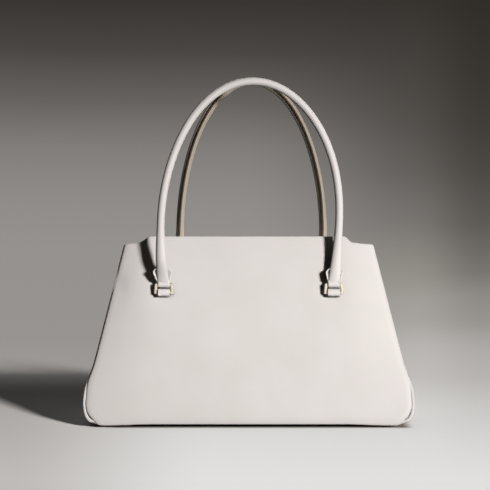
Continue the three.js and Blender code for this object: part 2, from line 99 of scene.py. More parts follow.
# Handles
CORE_RADIUS = 3 * MM
COVER = 1.2 * MM
FLAT_BORE = 0.6 * MM
TAB_WIDTH = 13 * MM
TAB_THICKNESS = 1.6 * MM
LEAF_WIDTH = 21.5 * MM
LEAF_TIP_WIDTH = 9 * MM
LEAF_SHOULDER = 14 * MM
LEAF_NECK = 18.5 * MM
LEAF_TONGUE = 21 * MM
LEAF_HEIGHT = 25 * MM
FLARE_START = 15 * MM
FLARE_LENGTH = 75 * MM
FLATTEN_LENGTH = 28 * MM
CORE_START = 50 * MM
LEFT_TWIST = 32 * MM
RIGHT_TWIST = 45 * MM
FRONT_HANDLE = {
    "span": 206.6 * MM, "rise": 235.5 * MM, "hip": 75 * MM, "lean": 5 * MM, "lean_height": 180 * MM,
    "left_out": 9 * MM, "right_out": -5 * MM,
}
BACK_HANDLE = {
    "span": 173 * MM, "rise": 244 * MM, "hip": 60 * MM, "lean": -3.5 * MM, "lean_height": 70 * MM,
    "left_out": 0.0, "right_out": 0.0,
}

# The top edge as it has settled: shoulder and step measured in from the left and right corners
LEFT_SHOULDER = 13.5 * MM
LEFT_STEP = 15.5 * MM
RIGHT_SHOULDER = 20.7 * MM
RIGHT_STEP = 11 * MM

# The panel's turned edge lies over the piping, which comes out from behind it at the lower corners
CORNER_OPENS = 8 * MM
CORNER_OPEN = 12 * MM
CORNER_NARROWS = 36 * MM
CORNER_CLOSES = 57 * MM
SIDE_COVER = 2.1 * MM
BASE_COVER = 3.7 * MM
CORNER_COVER = 0.6 * MM
PIPING_BULGE = 0.7 * MM
LOW_BULGE = 1.7 * MM
LOW_BULGE_TOP = 26 * MM
LOW_BULGE_REACH = 14 * MM
FLANGE = 1.6
DROOP = 1.4 * MM
DROOP_START = 110 * MM
DROOP_END = 165 * MM
DROOP_HEIGHT = 75 * MM
SWELL = 2.8 * MM
SWELL_Z = 48 * MM
SWELL_REACH = 16 * MM
COVER_REACH = 14 * MM
PIPING_BACK = 2.6 * MM
PIPING_BACK_OPEN = 1.7 * MM

# Softness of leather and cloth; a swell is its (depth, size), the piping's depth a share of its radius
PANEL_SWELL = (0.6 * MM, 80 * MM)
PANEL_RIPPLE = (0.22 * MM, 30 * MM)
GUSSET_SWELL = (0.7 * MM, 45 * MM)
GUSSET_ROLL = 0.5 * MM
PIPING_SWELL = (0.03, 12 * MM)
BASE_SWELL = (0.25 * MM, 40 * MM)
BASE_CALM = 10 * MM
LINING_FOLD = (0.8 * MM, 26 * MM)
LINING_CREASE = (0.25 * MM, 12 * MM)
WAVE_FADE = 22 * MM
SEAM_ROLL = 0.8 * MM
SEAM_ROLL_REACH = 4.5 * MM
SEAM_PUFF = 0.4 * MM
SEAM_PUFF_REACH = 9 * MM
EDGE_LINE_DROP = 3 * MM
EDGE_LINE_DEPTH = 0.15 * MM
TURN_IN = 2 * MM
DENT_X = -151 * MM
DENT_Z = 166 * MM
DENT_REACH = 8 * MM
DENT_DEPTH = 1.4 * MM
CHAPE_DIMPLE = 0.5 * MM
CHAPE_DIMPLE_REACH = 13 * MM

# Stitches as (length, thread), and their spacing
FACING_STITCH = (2.6 * MM, 0.7 * MM)
FIN_STITCH = (2.2 * MM, 0.4 * MM)
TAB_STITCH = (2.2 * MM, 0.7 * MM)
FACING_PITCH = 4 * MM
FIN_STITCHES = 150

# Places worked out from the sizes
SEAM_Z = GROUND_GAP + PIPING / 2
EDGE_INSET = PIPING / 2 + FIT_GAP
LINING_INSET = PANEL / 2 + WALL_GAP
ARC_X = BASE_WIDTH / 2 - CORNER_RADIUS
ARC_Z = SEAM_Z + CORNER_RADIUS
TOP_X = TOP_WIDTH / 2
TOP_Z = SEAM_Z + BODY_HEIGHT
SIDE_LENGTH = math.hypot(TOP_X - ARC_X, TOP_Z - ARC_Z)
SIDE_TURN = math.atan2(TOP_Z - ARC_Z, TOP_X - ARC_X) - math.acos(CORNER_RADIUS / SIDE_LENGTH)
BOARD_TOP = SEAM_Z + PANEL / 2 + FIT_GAP + BOARD
WASHER_TOP = BOARD_TOP + FIT_GAP + WASHER
FACING_BOTTOM = TOP_Z - FACING_HEIGHT
FLAT_REACH = RING_SPACING / 2 + CHAPE_WIDTH / 2 + FLAT_MARGIN
FOOT_X, FOOT_Y = (abs(frame["record"]["mounts"][0]["pos_m"][i]) for i in (0, 1))
CHAPE_ROOT_Z = TOP_Z - CHAPE_DROP
WIRE_REACH = (RING_WIRE / 2 - RING_ROUND) * math.sqrt(2) + RING_ROUND
BAR_HOLE = WIRE_REACH + FIT_GAP
FOLD_RADIUS = BAR_HOLE + TAB_THICKNESS
TUBE_RADIUS = CORE_RADIUS + FIT_GAP + COVER
COVER_START = BAR_HOLE + FIT_GAP
BAR_STANDOFF = PANEL / 2 + FIT_GAP + BAR_HOLE + CHAPE_THICKNESS
hinges = {joint["name"]: Vector(joint["pos_m"]) for joint in frame["joints"]}
LOWER_BAR = hinges["front_ring_swing"]
UPPER_BAR = hinges["front_handle_swing"]
BAR_PITCH = UPPER_BAR.z - LOWER_BAR.z


def lerp(a, b, share):
    return a + (b - a) * share


def clamp(value, low=0.0, high=1.0):
    return max(low, min(high, value))


def smoothstep(value, low, high):
    share = clamp((value - low) / (high - low))
    return share * share * (3 - 2 * share)


def bell(distance, reach):
    return math.exp(-((distance / reach) ** 2))


def waves(x, y, swell, seed, lift=0):
    """Smooth unevenness of a swell's depth and size, about the middle or lifted clear to one side."""
    depth, size = swell
    return depth * (noise.noise(Vector((x / size, y / size, seed))) + lift)


# Form of the bag

def side_x(z, inset):
    return TOP_X + (TOP_Z - z) * math.tan(SIDE_TURN) - inset / math.cos(SIDE_TURN)


def half_width(z, inset):
    """Half width of the seam outline at a height, set inwards."""
    radius = CORNER_RADIUS - inset
    if z >= ARC_Z + radius * math.sin(SIDE_TURN):
        return side_x(z, inset)
    return ARC_X + math.sqrt(max(0.0, radius ** 2 - (ARC_Z - z) ** 2))


def seam_distance(x, z):
    """Distance inwards from the seam outline as seen from the front."""
    out = abs(x) - ARC_X
    down = ARC_Z - z
    if out > 0 and down > -out * math.tan(SIDE_TURN):
        return CORNER_RADIUS - math.hypot(out, down)
    return min((side_x(z, 0) - abs(x)) * math.cos(SIDE_TURN), z - SEAM_Z)


def seam_normal(x, z):
    """Direction out of the seam outline, as seen from the front, at a place near it."""
    out = abs(x) - ARC_X
    down = ARC_Z - z
    if out > 0 and down > -out * math.tan(SIDE_TURN):
        reach = math.hypot(out, down)
        return math.copysign(out / reach, x), -down / reach
    if (side_x(z, 0) - abs(x)) * math.cos(SIDE_TURN) < z - SEAM_Z:
        return math.copysign(math.cos(SIDE_TURN), x), math.sin(SIDE_TURN)
    return 0.0, -1.0


def corner_opening(z):
    """Share by which the piping shows beside the panel's edge, which it does at the lower corners."""
    return smoothstep(z, CORNER_OPENS, CORNER_OPEN) * (1 - smoothstep(z, CORNER_NARROWS, CORNER_CLOSES))


def settled(x, y, z):
    """A spot of the body where the load of the bag leaves it: lower corners hang down and swell sideways."""
    outer = smoothstep(abs(x), DROOP_START, DROOP_END)
    swell = SWELL * outer * bell(z - SWELL_Z, SWELL_REACH)
    droop = DROOP * outer * (1 - smoothstep(z, SEAM_Z, DROOP_HEIGHT))
    return Vector((x + math.copysign(swell, x), y, z - droop))


def height_share(z):
    return max(0.0, (z - SEAM_Z) / BODY_HEIGHT)


def seam_depth(z):
    return lerp(BASE_DEPTH, TOP_DEPTH, height_share(z)) / 2


def middle_depth(z):
    belly = BELLY_RISE * math.sin(math.pi * height_share(z))
    return lerp(BASE_DEPTH, MOUTH_DEPTH, height_share(z)) / 2 + belly


def panel_lean(z):
    step = 0.5 * MM
    return math.atan((middle_depth(z - step) - middle_depth(z + step)) / (2 * step))


def panel_depth(x, edge, z):
    turn = clamp((abs(x) - FLAT_REACH) / (edge - FLAT_REACH))
    return lerp(middle_depth(z), seam_depth(z), turn * turn)


def top_rise(x, edge, half):
    """Height of the top edge above the top corners: sloping shoulder, S-step, straight middle.

    The back is drawn as a front that is turned round, so its left and right change places.
    """
    inward = edge - abs(x)
    shoulder, width = (RIGHT_SHOULDER, RIGHT_STEP) if x * half > 0 else (LEFT_SHOULDER, LEFT_STEP)
    if inward < shoulder:
        return SHOULDER_RISE * inward / shoulder
    step = clamp((inward - shoulder) / width)
    return SHOULDER_RISE + STEP_RISE * (0.5 - 0.5 * math.cos(math.pi * step))


def wall_spot(column, row_z, row_x, inset, half):
    """Front view place of a wall point: upright columns over the flat middle, fanned out beside it."""
    top_edge = side_x(TOP_Z, inset)
    beside = max(0.0, (abs(column) - FLAT_REACH) / (top_edge - FLAT_REACH))
    x = math.copysign(lerp(min(abs(column), FLAT_REACH), row_x, beside), column)
    lifted = smoothstep(row_z, TOP_Z - RISE_BLEND, TOP_Z)
    return x, row_z + top_rise(column, top_edge, half) * lifted


def fold_depth(y, z):
    """Inward fold of the gusset's middle, growing from the base to the mouth."""
    across = clamp(y / seam_depth(z), -1, 1)
    return GUSSET_FOLD * height_share(z) ** 1.5 * (0.5 + 0.5 * math.cos(math.pi * across))


def outline_rows(inset, end_z, corner_steps, side_steps, lift=0.0):
    """Right half of the seam outline as (x, z, turn): the corner's arc, then the slanted side."""
    slide = lift / math.cos(SIDE_TURN)
    rows = []
    for i in range(corner_steps + 1):
        turn = lerp(-math.pi / 2, SIDE_TURN, i / corner_steps)
        x = ARC_X - slide * math.sin(SIDE_TURN) + (CORNER_RADIUS - inset) * math.cos(turn)
        z = ARC_Z + slide * math.cos(SIDE_TURN) + (CORNER_RADIUS - inset) * math.sin(turn)
        rows.append((x, z, turn))
    for z in steps(rows[-1][1], (end_z, side_steps))[1:]:
        rows.append((side_x(z, inset), z, SIDE_TURN))
    return rows


# Mesh tools

def steps(first, *spans):
    """Lines from first on: each span is (end, count), reached in count even steps."""
    lines = [first]
    for end, count in spans:
        start = lines[-1]
        lines += [lerp(start, end, (i + 1) / count) for i in range(count)]
    return lines


def rim_lines(edge, rim):
    """Lines close to an edge, nearest last, on which its half-round is drawn."""
    return [edge - rim * share for share in (0.45, 0.13, 0)]


def both_sides(right):
    return [-line for line in reversed(right[1:])] + right


def rim_share(distance, rim):
    """Share of the thickness that a half-round edge has at a distance from its line."""
    inner = 1 - clamp(distance / rim)
    return math.sqrt(1 - inner * inner)


def lay_grid(bm, across, up, place):
    """A grid of quads laid on place(u, v), as pairs of a vertex and its (u, v)."""
    made = bmesh.ops.create_grid(bm, x_segments=len(across) - 1, y_segments=len(up) - 1, size=1)
    spots = [(u, v) for v in up for u in across]
    laid = list(zip(made["verts"], spots))
    for vert, spot in laid:
        vert.co = place(*spot)
    return laid


def merge(bm):
    bmesh.ops.remove_doubles(bm, verts=bm.verts, dist=0.001 * MM)


def tube(across, up, place, paint=None):
    """A closed skin round place(u, v), whose first and last u meet; open ends are capped."""
    bm = bmesh.new()
    layer = bm.verts.layers.float.new("edge_paint")
    for vert, spot in lay_grid(bm, across, up, place):
        vert[layer] = paint(*spot) if paint else 0
    merge(bm)
    bmesh.ops.holes_fill(bm, edges=bm.edges, sides=0)
    bmesh.ops.recalc_face_normals(bm, faces=bm.faces)
    return bm


def leather_sheet(across, up, place, half, edge, rim, loop=False, paint=None):
    """A sheet of two faces that meet in half-round edges.

    half(u, v, side) is the thickness from the middle surface to a side, +1 along its normal;
    edge(u, v) is the distance to the nearest free edge, which is rounded over the rim's width.
    """
    bm = bmesh.new()
    layer = bm.verts.layers.float.new("edge_paint")
    for side in (1, -1):
        laid = lay_grid(bm, across, up, place)
        bm.normal_update()
        normals = [vert.normal.copy() for vert, _ in laid]
        if loop:
            for first in range(0, len(laid), len(across)):
                last = first + len(across) - 1
                normals[first] = normals[last] = (normals[first] + normals[last]).normalized()
        for (vert, spot), normal in zip(laid, normals):
            vert.co += normal * side * half(*spot, side) * rim_share(edge(*spot), rim)
            if paint:
                vert[layer] = paint * bell(edge(*spot), rim / 2)
        if side < 0:
            faces = {face for vert, _ in laid for face in vert.link_faces}
            bmesh.ops.reverse_faces(bm, faces=list(faces))
    merge(bm)
    return bm


def cut_holes(bm, inside):
    """Takes out the faces whose middle is inside a hole and walls each hole between its two rims."""
    gone = [face for face in bm.faces if inside(face.calc_center_median())]
    bmesh.ops.delete(bm, geom=gone, context="FACES")
    rims = [edge for edge in bm.edges if edge.is_boundary]
    for right in (False, True):
        for back in (False, True):
            corner = [e for e in rims if (e.verts[0].co.x > 0, e.verts[0].co.y > 0) == (right, back)]
            if corner:
                bmesh.ops.bridge_loops(bm, edges=corner)


def turned(profile, seat=Matrix.Identity(4), around=48):
    """A turned shape from (radius, height) pairs, stood on a seat."""
    bm = bmesh.new()
    verts = [bm.verts.new((radius, 0, height)) for radius, height in profile]
    lines = [bm.edges.new(pair) for pair in zip(verts, verts[1:])]
    bmesh.ops.spin(
        bm, geom=verts + lines, cent=(0, 0, 0), axis=(0, 0, 1), angle=2 * math.pi, steps=around,
        use_merge=True,
    )
    merge(bm)
    bmesh.ops.recalc_face_normals(bm, faces=bm.faces)
    bmesh.ops.transform(bm, matrix=seat, verts=bm.verts)
    return bm


def arc(centre, radius, start, end, count):
    """Points of a profile's arc, angles in degrees."""
    turns = [math.radians(lerp(start, end, i / count)) for i in range(count + 1)]
    return [(centre[0] + radius * math.cos(t), centre[1] + radius * math.sin(t)) for t in turns]


def stand(name, data):
    """Puts a mesh, lamp or camera into the scene."""
    thing = bpy.data.objects.new(name, data)
    bpy.context.scene.collection.objects.link(thing)
    return thing


def smooth_piece(name, bm, material):
    mesh = bpy.data.meshes.new(name)
    bm.to_mesh(mesh)
    bm.free()
    mesh.polygons.foreach_set("use_smooth", [True] * len(mesh.polygons))
    mesh.materials.append(material)
    return stand(name, mesh)


def finish(name, bm, stuff, body, *nodes, half=1):
    """Makes the piece, turned to the back of the bag for half -1, on its body, standing for its nodes."""
    if half < 0:
        bmesh.ops.rotate(bm, verts=bm.verts, cent=(0, 0, 0), matrix=Matrix.Rotation(math.pi, 3, "Z"))
    material, slot = stuff
    piece = smooth_piece(name, bm, material)
    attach(piece, body)
    if nodes:
        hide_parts(*nodes)


def stitch_row(places, length, width):
    """Thread stitches at (middle, along, out) places, each a small pad sunk at both ends."""
    bm = bmesh.new()
    for middle, along, out in places:
        turn = Matrix((along, out.cross(along), out)).transposed().to_4x4()
        size = Matrix.Diagonal((length / 2, width / 2, width / 2.6, 1))
        pad = Matrix.Translation(middle) @ turn @ size
        bmesh.ops.create_uvsphere(bm, u_segments=6, v_segments=4, radius=1, matrix=pad)
    return bm


# Materials

def linear(code):
    """sRGB hex to linear colour."""
    parts = [int(code[i:i + 2], 16) / 255 for i in (1, 3, 5)]
    return (*[p / 12.92 if p <= 0.04045 else ((p + 0.055) / 1.055) ** 2.4 for p in parts], 1)


def per_metre(size):
    """Pattern scale that repeats about once in the given size."""
    return 1 / size


def shader(name):
    """A new material, and the function that adds nodes to it."""
    made = bpy.data.materials.new(name)
    made.use_nodes = True
    tree = made.node_tree
    tree.nodes.clear()

    def node(kind, sockets=(), stops=(), out=0, **settings):
        """Adds a node with its properties, its inputs as values or links, and gives one output or all."""
        added = tree.nodes.new("ShaderNode" + kind)
        for key, value in settings.items():
            setattr(added, key, value)
        named = sockets if isinstance(sockets, dict) else dict(enumerate(sockets))
        for key, value in named.items():
            if isinstance(value, bpy.types.NodeSocket):
                tree.links.new(value, added.inputs[key])
            else:
                added.inputs[key].default_value = value
        for i, (position, code) in enumerate(stops):
            ramp = added.color_ramp.elements
            stop = ramp[i] if i < len(ramp) else ramp.new(position)
            stop.position = position
            stop.color = linear(code)
        return added.outputs if out is None else added.outputs[out]

    return made, node


def calf_leather():
    """Drum-dyed off-white calf, pressed smooth: a soft satin with faint clouding and very fine pores.

    The cut and sewn edges carry paint, which the piece marks with its edge_paint attribute; on the handles the
    same mark also paints shade beside the seam and a painted shadow on the fin.
    """
    made, node = shader("smooth_calf_leather")
    place = node("TexCoord", out="Object")
    cloud = node("TexNoise", {"Vector": place, "Scale": per_metre(55 * MM), "Detail": 3})
    tint = node("ValToRGB", {"Fac": cloud}, [(0.3, "#e6dfda"), (0.7, "#ebe4e0")])
    mark = node("Attribute", out="Fac", attribute_name="edge_paint")
    # Ramp of the mark: real edge paint on cut edges, and on the handles painted shade and a dark painted shadow
    paint = node("ValToRGB", {"Fac": mark}, [(0.0, "#d8cdbe"), (0.5, "#a4957f"), (1.0, "#3b2a1d")])
    cover = node("MapRange", {"Value": mark, "From Min": 0.05, "From Max": 0.3})
    colour = node("Mix", {0: cover, 6: tint, 7: paint}, out=2, data_type="RGBA")
    pores = node("TexVoronoi", {"Vector": place, "Scale": per_metre(0.9 * MM)})
    creases = node("TexNoise", {"Vector": place, "Scale": per_metre(6 * MM), "Detail": 5, "Roughness": 0.6})
    fine = node("Bump", {"Height": pores, "Strength": 0.06, "Distance": 0.05 * MM})
    relief = node("Bump", {"Height": creases, "Strength": 0.2, "Distance": 0.15 * MM, "Normal": fine})
    gloss = node("MapRange", {"Value": creases, "To Min": 0.52, "To Max": 0.64})
    skin = node("BsdfPrincipled", {"Base Color": colour, "Roughness": gloss, "Normal": relief, "IOR": 1.44})
    node("OutputMaterial", {"Surface": skin}, out=None)
    return made


def linen_thread(name, dark, light):
    """Waxed sewing thread: dull, with its twist just showing."""
    made, node = shader(name)
    lay = {"Vector": node("TexCoord", out="Object"), "Scale": per_metre(0.7 * MM), "Distortion": 0.4}
    twist = node("TexWave", lay, out="Fac", bands_direction="DIAGONAL")
    tint = node("ValToRGB", {"Fac": twist}, [(0.0, dark), (1.0, light)])
    relief = node("Bump", {"Height": twist, "Strength": 0.4, "Distance": 0.1 * MM})
    thread = node("BsdfPrincipled", {"Base Color": tint, "Roughness": 0.7, "Normal": relief})
    node("OutputMaterial", {"Surface": thread}, out=None)
    return made


def light_gold():
    """Brass with pale gold plating, satin polished: a soft broad gleam with a trace of polishing marks."""
    made, node = shader("pale_gold_plated_brass")
    place = node("TexCoord", out="Object")
    wear = node("TexNoise", {"Vector": place, "Scale": per_metre(4 * MM), "Detail": 4})
    tint = node("ValToRGB", {"Fac": wear}, [(0.3, "#d0c8b5"), (0.7, "#d8d0bf")])
    gloss = node("MapRange", {"Value": wear, "To Min": 0.64, "To Max": 0.76})
    marks = node("TexNoise", {"Vector": place, "Scale": per_metre(0.8 * MM), "Detail": 2})
    polish = node("Bump", {"Height": marks, "Strength": 0.08, "Distance": 0.05 * MM})
    plating = {"Base Color": tint, "Metallic": 1.0, "Roughness": gloss, "Normal": polish}
    node("OutputMaterial", {"Surface": node("BsdfPrincipled", plating)}, out=None)
    return made


def lining_twill():
    """Woven cotton twill: diagonal ribs of matt thread, drawn at 1.6 mm so that they show."""
    made, node = shader("cotton_twill")
    place = node("TexCoord", out="Object")
    ribbing = {"Vector": place, "Scale": per_metre(1.6 * MM) / 6, "Distortion": 0.6, "Detail": 2}
    ribs = node("TexWave", ribbing, out="Fac", bands_direction="DIAGONAL")
    slub = node("TexNoise", {"Vector": place, "Scale": per_metre(3 * MM), "Detail": 4})
    weave = node("Math", {0: ribs, 1: slub}, operation="MULTIPLY")
    tint = node("ValToRGB", {"Fac": weave}, [(0.0, "#a2937f"), (0.7, "#c9bca9")])
    lay = node("Bump", {"Height": weave, "Strength": 0.5, "Distance": 0.2 * MM})
    cloth = {"Base Color": tint, "Roughness": 0.9, "Sheen Weight": 0.15, "Normal": lay}
    node("OutputMaterial", {"Surface": node("BsdfPrincipled", cloth)}, out=None)
    return made


def matt_fibres(name, fibre, grit, stops, strength, depth, dullness):
    """Matt stuff of pressed or laid fibres: speckled, with a nap."""
    made, node = shader(name)
    speckle = {"Vector": node("TexCoord", out="Object"), "Scale": per_metre(fibre), **grit}
    fibres = node("TexNoise", speckle)
    tint = node("ValToRGB", {"Fac": fibres}, stops)
    nap = node("Bump", {"Height": fibres, "Strength": strength, "Distance": depth})
    stuff = node("BsdfPrincipled", {"Base Color": tint, "Roughness": dullness, "Normal": nap})
    node("OutputMaterial", {"Surface": stuff}, out=None)
    return made


def pressed_fibreboard():
    """Grey-brown board of pressed fibres: matt and speckled."""
    browns = [(0.35, "#75654f"), (0.65, "#9a8a74")]
    grit = {"Detail": 6, "Roughness": 0.7}
    return matt_fibres("pressed_fibreboard", 2 * MM, grit, browns, 0.4, 0.1 * MM, 0.9)


def cotton_rope():
    """Soft laid cotton: matt off-white strands with loose fibres."""
    whites = [(0.3, "#c9beac"), (0.7, "#e2dacb")]
    return matt_fibres("laid_cotton_rope", 1 * MM, {"Detail": 5}, whites, 0.5, 0.2 * MM, 0.95)


# Each stuff is a material and the slot that it fills
LEATHER = calf_leather(), "calf_leather"
THREAD = linen_thread("waxed_linen_thread", "#cfc4b6", "#ebe4da"), "calf_leather"
EDGE_THREAD = linen_thread("waxed_brown_thread", "#66533f", "#846f58"), "calf_leather"
GOLD = light_gold(), "light_gold_metal"
TWILL = lining_twill(), "lining_cloth"
FIBREBOARD = pressed_fibreboard(), "fibreboard"
ROPE = cotton_rope(), "cotton_rope"


# Panels, gussets, piping and base

PANEL_RIM = PANEL / 2
SLOT_IN = RING_SPACING / 2 - CHAPE_WIDTH / 2 - FIT_GAP
SLOT_OUT = RING_SPACING / 2 + CHAPE_WIDTH / 2 + FIT_GAP
SLOT_HALF = (CHAPE_THICKNESS + FIT_GAP) * math.cos(panel_lean(CHAPE_ROOT_Z))
SLOT_LOW = CHAPE_ROOT_Z - SLOT_HALF
SLOT_HIGH = CHAPE_ROOT_Z + SLOT_HALF


def turned_edge(drop, side):
    """Thickness of a wall below its top edge: a pressed line outside, the turned leather inside."""
    if side > 0:
        line = EDGE_LINE_DEPTH * bell(drop - EDGE_LINE_DROP, 0.45 * MM)
        return PANEL / 2 - line + 0.12 * MM * bell(drop - EDGE_LINE_DROP / 2, 0.9 * MM)
    return PANEL / 2 + TURN_IN * smoothstep(-drop, -2.2 * MM, -1 * MM)


def panel_columns():
    edge = side_x(TOP_Z, EDGE_INSET)
    crown = edge - RIGHT_SHOULDER - RIGHT_STEP
    foot = edge - LEFT_SHOULDER
    spans = [(SLOT_IN, 14), (SLOT_OUT, 6), (FLAT_REACH, 1), (crown, 2), (foot, 15), (edge - PANEL_RIM, 12)]
    return both_sides(steps(0.0, *spans) + rim_lines(edge, PANEL_RIM))


def panel_rows():
    corner = [z for _, z, _ in outline_rows(EDGE_INSET, TOP_Z, 16, 1)][:-1]
    line = TOP_Z - EDGE_LINE_DROP - 1.4 * MM
    spans = [(SLOT_LOW, 24), (SLOT_HIGH, 3), (line, 14), (TOP_Z - PANEL_RIM, 12)]
    return corner[:-1] + steps(corner[-1], *spans) + rim_lines(TOP_Z, PANEL_RIM)


def panel(half, name, seed):
    def spot(column, row):
        return wall_spot(column, row, half_width(row, EDGE_INSET), EDGE_INSET, half)

    def place(column, row):
        x, z = spot(column, row)
        inside = seam_distance(x, z) - EDGE_INSET
        depth = panel_depth(x, half_width(row, EDGE_INSET), z)
        calm = clamp(inside / WAVE_FADE)
        depth += calm * (waves(x, z, PANEL_SWELL, seed) + waves(x, z, PANEL_RIPPLE, seed + 7))
        depth -= SEAM_ROLL * (1 - clamp(inside / SEAM_ROLL_REACH)) ** 2
        depth += SEAM_PUFF * inside / SEAM_PUFF_REACH * math.exp(1 - inside / SEAM_PUFF_REACH)
        chape = math.hypot(abs(x) - RING_SPACING / 2, z - CHAPE_ROOT_Z)
        depth -= CHAPE_DIMPLE * bell(chape, CHAPE_DIMPLE_REACH)
        if half > 0:
            depth -= DENT_DEPTH * bell(math.hypot(x - DENT_X, 0.7 * (z - DENT_Z)), DENT_REACH)
        out_x, out_z = seam_normal(x, z)
        cover = lerp(BASE_COVER, SIDE_COVER, smoothstep(z, SEAM_Z, ARC_Z))
        cover = lerp(cover, CORNER_COVER, corner_opening(z)) * (1 - clamp(inside / COVER_REACH)) ** 2
        return settled(x + out_x * cover, -depth, z + out_z * cover)

    def edge(column, row):
        return min(seam_distance(*spot(column, row)) - EDGE_INSET, TOP_Z - row)

    def in_slot(middle):
        return SLOT_IN < abs(middle.x) < SLOT_OUT and SLOT_LOW < middle.z < SLOT_HIGH

    def thickness(column, row, side):
        return turned_edge(TOP_Z - row, side)

    bm = leather_sheet(panel_columns(), panel_rows(), place, thickness, edge, PANEL_RIM)
    cut_holes(bm, in_slot)
    finish(f"{name}_panel_leather", bm, LEATHER, "bag", f"{name}_panel", half=half)


def gusset(half, name, seed):
    rows = outline_rows(0, TOP_Z, 16, 40)
    starts = [lerp(-math.pi / 2, SIDE_TURN, share) for share in (0.002, 0.008, 0.02)]
    first = [
        (ARC_X + CORNER_RADIUS * math.cos(t), ARC_Z + CORNER_RADIUS * math.sin(t), t) for t in starts
    ]
    close = steps(TOP_Z - EDGE_LINE_DROP - 1.4 * MM, (TOP_Z - PANEL_RIM, 12)) + rim_lines(TOP_Z, PANEL_RIM)
    last = [(side_x(z, 0), z, SIDE_TURN) for z in close]
    rows = rows[:1] + first + [row for row in rows[1:] if row[1] < close[0] - MM] + last

    def place(share, i):
        x, z, turn = rows[i]
        y = share * (seam_depth(z) - EDGE_INSET - PIPING_BACK * (1 - corner_opening(z)))
        calm = clamp((1 - abs(share)) * 3) * smoothstep(z, SEAM_Z, ARC_Z + 30 * MM)
        inward = fold_depth(y, z) + calm * waves(y, z, GUSSET_SWELL, seed)
        inward += GUSSET_ROLL * (1 - clamp((1 - abs(share)) * seam_depth(z) / SEAM_ROLL_REACH)) ** 2
        return settled(x - inward * math.cos(turn), y, z - inward * math.sin(turn))

    def edge(share, i):
        x, z, turn = rows[i]
        from_base = (turn + math.pi / 2) * CORNER_RADIUS
        return min((1 - abs(share)) * (seam_depth(z) - EDGE_INSET), TOP_Z - z, from_base)

    def thickness(share, i, side):
        return turned_edge(TOP_Z - rows[i][1], side)

    shares = both_sides(steps(0.0, (0.9, 14), (0.965, 2)) + [0.985, 0.995, 1])
    bm = leather_sheet(shares, range(len(rows)), place, thickness, edge, PANEL_RIM)
    finish(f"{name}_gusset_leather", bm, LEATHER, "bag", f"{name}_gusset", half=half)


def piping(half, name, seed):
    """Leather-wrapped cord along the seam, its ends tucked round at the mouth."""
    right = outline_rows(0, TOP_Z - PIPING / 2, 20, 46)
    right += [(side_x(z, 0), z, SIDE_TURN) for z in rim_lines(TOP_Z, PIPING / 2)]
    left = [(-x, z, math.pi - turn) for x, z, turn in reversed(right)]
    middle = [(x, SEAM_Z, -math.pi / 2) for x in steps(-ARC_X, (ARC_X, 60))[1:-1]]
    rows = left + middle + right

    def place(angle, i):
        x, z, turn = rows[i]
        radius = PIPING / 2 * rim_share(TOP_Z - z, PIPING / 2) * (1 + waves(x, z, PIPING_SWELL, seed))
        opening = corner_opening(z)
        bulge = PIPING_BULGE + LOW_BULGE * smoothstep(LOW_BULGE_TOP - z, 0, LOW_BULGE_REACH)
        out = radius * math.cos(angle) * (1 if math.cos(angle) > 0 else FLANGE) + bulge * opening
        back = lerp(PIPING_BACK, PIPING_BACK_OPEN, opening)
        y = -seam_depth(z) + back + radius * math.sin(angle)
        return settled(x + out * math.cos(turn), y, z + out * math.sin(turn))

    bm = tube(steps(0.0, (2 * math.pi, 14)), range(len(rows)), place)
    finish(f"{name}_piping_leather", bm, LEATHER, "bag", f"{name}_piping", half=half)


def base():
    """Flat base with a hole for each foot's shank."""
    hole = SHANK_RADIUS + FIT_GAP
    length = ARC_X - FIT_GAP
    depth = BASE_DEPTH / 2 - EDGE_INSET - PIPING_BACK

    def lines(foot, end, inner, outer):
        spans = [(foot - hole, inner), (foot + hole, 2), (end - PANEL_RIM, outer)]
        return both_sides(steps(0.0, *spans) + rim_lines(end, PANEL_RIM))

    def place(x, y):
        sag = waves(x, y, BASE_SWELL, 3.1) * clamp((depth - abs(y)) / BASE_CALM)
        return settled(x, y, SEAM_Z + sag)

    def in_hole(middle):
        return abs(abs(middle.x) - FOOT_X) < hole and abs(abs(middle.y) - FOOT_Y) < hole

    bm = leather_sheet(
        lines(FOOT_X, length, 24, 4),
        lines(FOOT_Y, depth, 8, 4),
        place,
        lambda *_: PANEL / 2,
        lambda x, y: min(length - abs(x), depth - abs(y)),
        PANEL_RIM,
    )
    cut_holes(bm, in_hole)
    finish("base_leather", bm, LEATHER, "bag", "base_panel")


# Inside of the bag

def body_loop(row, inset, right_columns, sides):
    """Closed loop round the inside of the body at one row: front, right gusset, back, left gusset."""
    row_x, row_z, _ = row
    depth = seam_depth(row_z) - inset
    loop = []
    for half in (1, -1):
        for column in both_sides(right_columns):
            x, z = wall_spot(column, row_z, row_x, inset, half)
            loop.append(Vector((half * x, half * (inset - panel_depth(x, row_x, z)), z)))
        for i in range(1, sides):
            y = depth * (2 * i / sides - 1)
            loop.append(Vector((half * (row_x - fold_depth(y, row_z)), half * y, row_z)))
    return loop


